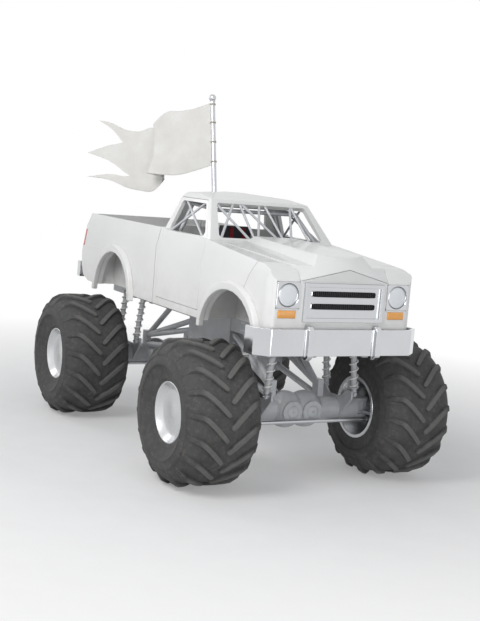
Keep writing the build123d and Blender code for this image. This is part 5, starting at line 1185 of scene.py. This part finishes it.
def grille_bars():
    """Upright bars and a dark backing in the grille's two slots, and a lip round each slot."""
    bars = bmesh.new()
    lips = bmesh.new()
    for z in SLOTS_Z:
        for index in range(33):
            y = -0.416 + 0.832 * index / 32
            add_block(bars, (NOSE_X - 0.022, y, z), (0.022, 0.006, 0.066), 0.0015, 1)
        add_block(bars, (NOSE_X - 0.036, 0, z), (0.004, 0.86, 0.072), 0.001, 1)
        rows = []
        for c, s in circle(72):
            across = 0.4265 * math.copysign(abs(c) ** 0.12, c)
            rise = 0.0325 * math.copysign(abs(s) ** 0.35, s)
            spot = Vector((NOSE_X + 0.001, across, z + rise))
            out = Vector((0, across * 0.1, rise)).normalized()
            steps = ((0.0, -0.003), (0.006, 0.0), (0.004, 0.005), (-0.002, 0.006))
            rows.append([spot + out * far + Vector((ahead, 0, 0)) for ahead, far in steps])
        add_grid(lips, rows, close_rows=True)
    finish_piece("grille_upright_bars", bars, DARK)
    finish_piece("grille_slot_lips", lips, CHROME, angle=50, outwards=True)


def body_trim():
    """Ribs on the bed's floor, a bead on each side by the tail and the tailgate's latch."""
    ribs = bmesh.new()
    for index in range(11):
        add_block(ribs, (-1.445, -0.6 + 0.12 * index, 2.1625), (2.23, 0.045, 0.011), 0.004, 2)
    finish_piece("bed_floor_ribs", ribs, PAINT)
    beads = bmesh.new()
    for side in (-1, 1):
        add_block(beads, (-2.24, side * 0.9703, 2.3), (0.46, 0.006, 0.01), 0.0025, 2)
    finish_piece("bed_side_beads", beads, PAINT)
    latch = bmesh.new()
    turn = Quaternion(LEFT, math.atan2(0.2, 0.569))
    spot = Vector((-2.5985, 0, 2.56))
    add_block(latch, spot, (0.016, 0.2, 0.085), 0.006, 3, turn)
    handle = spot + turn @ Vector((-0.01, 0, 0.01))
    add_block(latch, handle, (0.014, 0.15, 0.03), 0.005, 3, turn)
    finish_piece("tailgate_latch", latch, DARK, "tailgate")


def frame_bolts():
    """Four bolts on each rail where a cross member meets it."""
    bm = bmesh.new()
    for cross_x in CROSS_MEMBERS_X:
        for side in (-1, 1):
            for x in (cross_x - 0.03, cross_x + 0.03):
                for z in (1.645, 1.741):
                    add_bolt(bm, (x, side * 0.3902, z), LEFT * side, 0.011, 0.009)
    finish_piece("frame_bolts", bm, STEEL)


head_lamps()
grille_bars()
body_trim()
frame_bolts()


# CAD nodes that stay, with better surfaces

PANELS = ("cab", "fenders", "nose_panel", "hood", "door_left", "door_right", "bed", "tailgate")
dress(PAINT, *PANELS, "wheel_flares")
dress(CHROME, "grille", "front_bumper", "rear_bumper")
dress(CHASSIS, "frame", "front_axle", "rear_axle", *KNUCKLES)
dress(CASTING, "transfer_case", "engine")
dress(CAGE, "roll_cage", "window_bars_left", "window_bars_right")
dress(DARK, "dashboard")
dress(SEAT, "seat")
dress(RED, "tail_lamps")
soften(PANELS, 0.007, 3)
soften(("wheel_flares", "front_bumper", "rear_bumper", *KNUCKLES), 0.012, 3)
soften(("grille", "tail_lamps"), 0.004, 2)
soften(("frame", "front_axle", "rear_axle"), 0.005, 2)
soften(("dashboard", "seat", "engine", "transfer_case"), 0.015, 3)
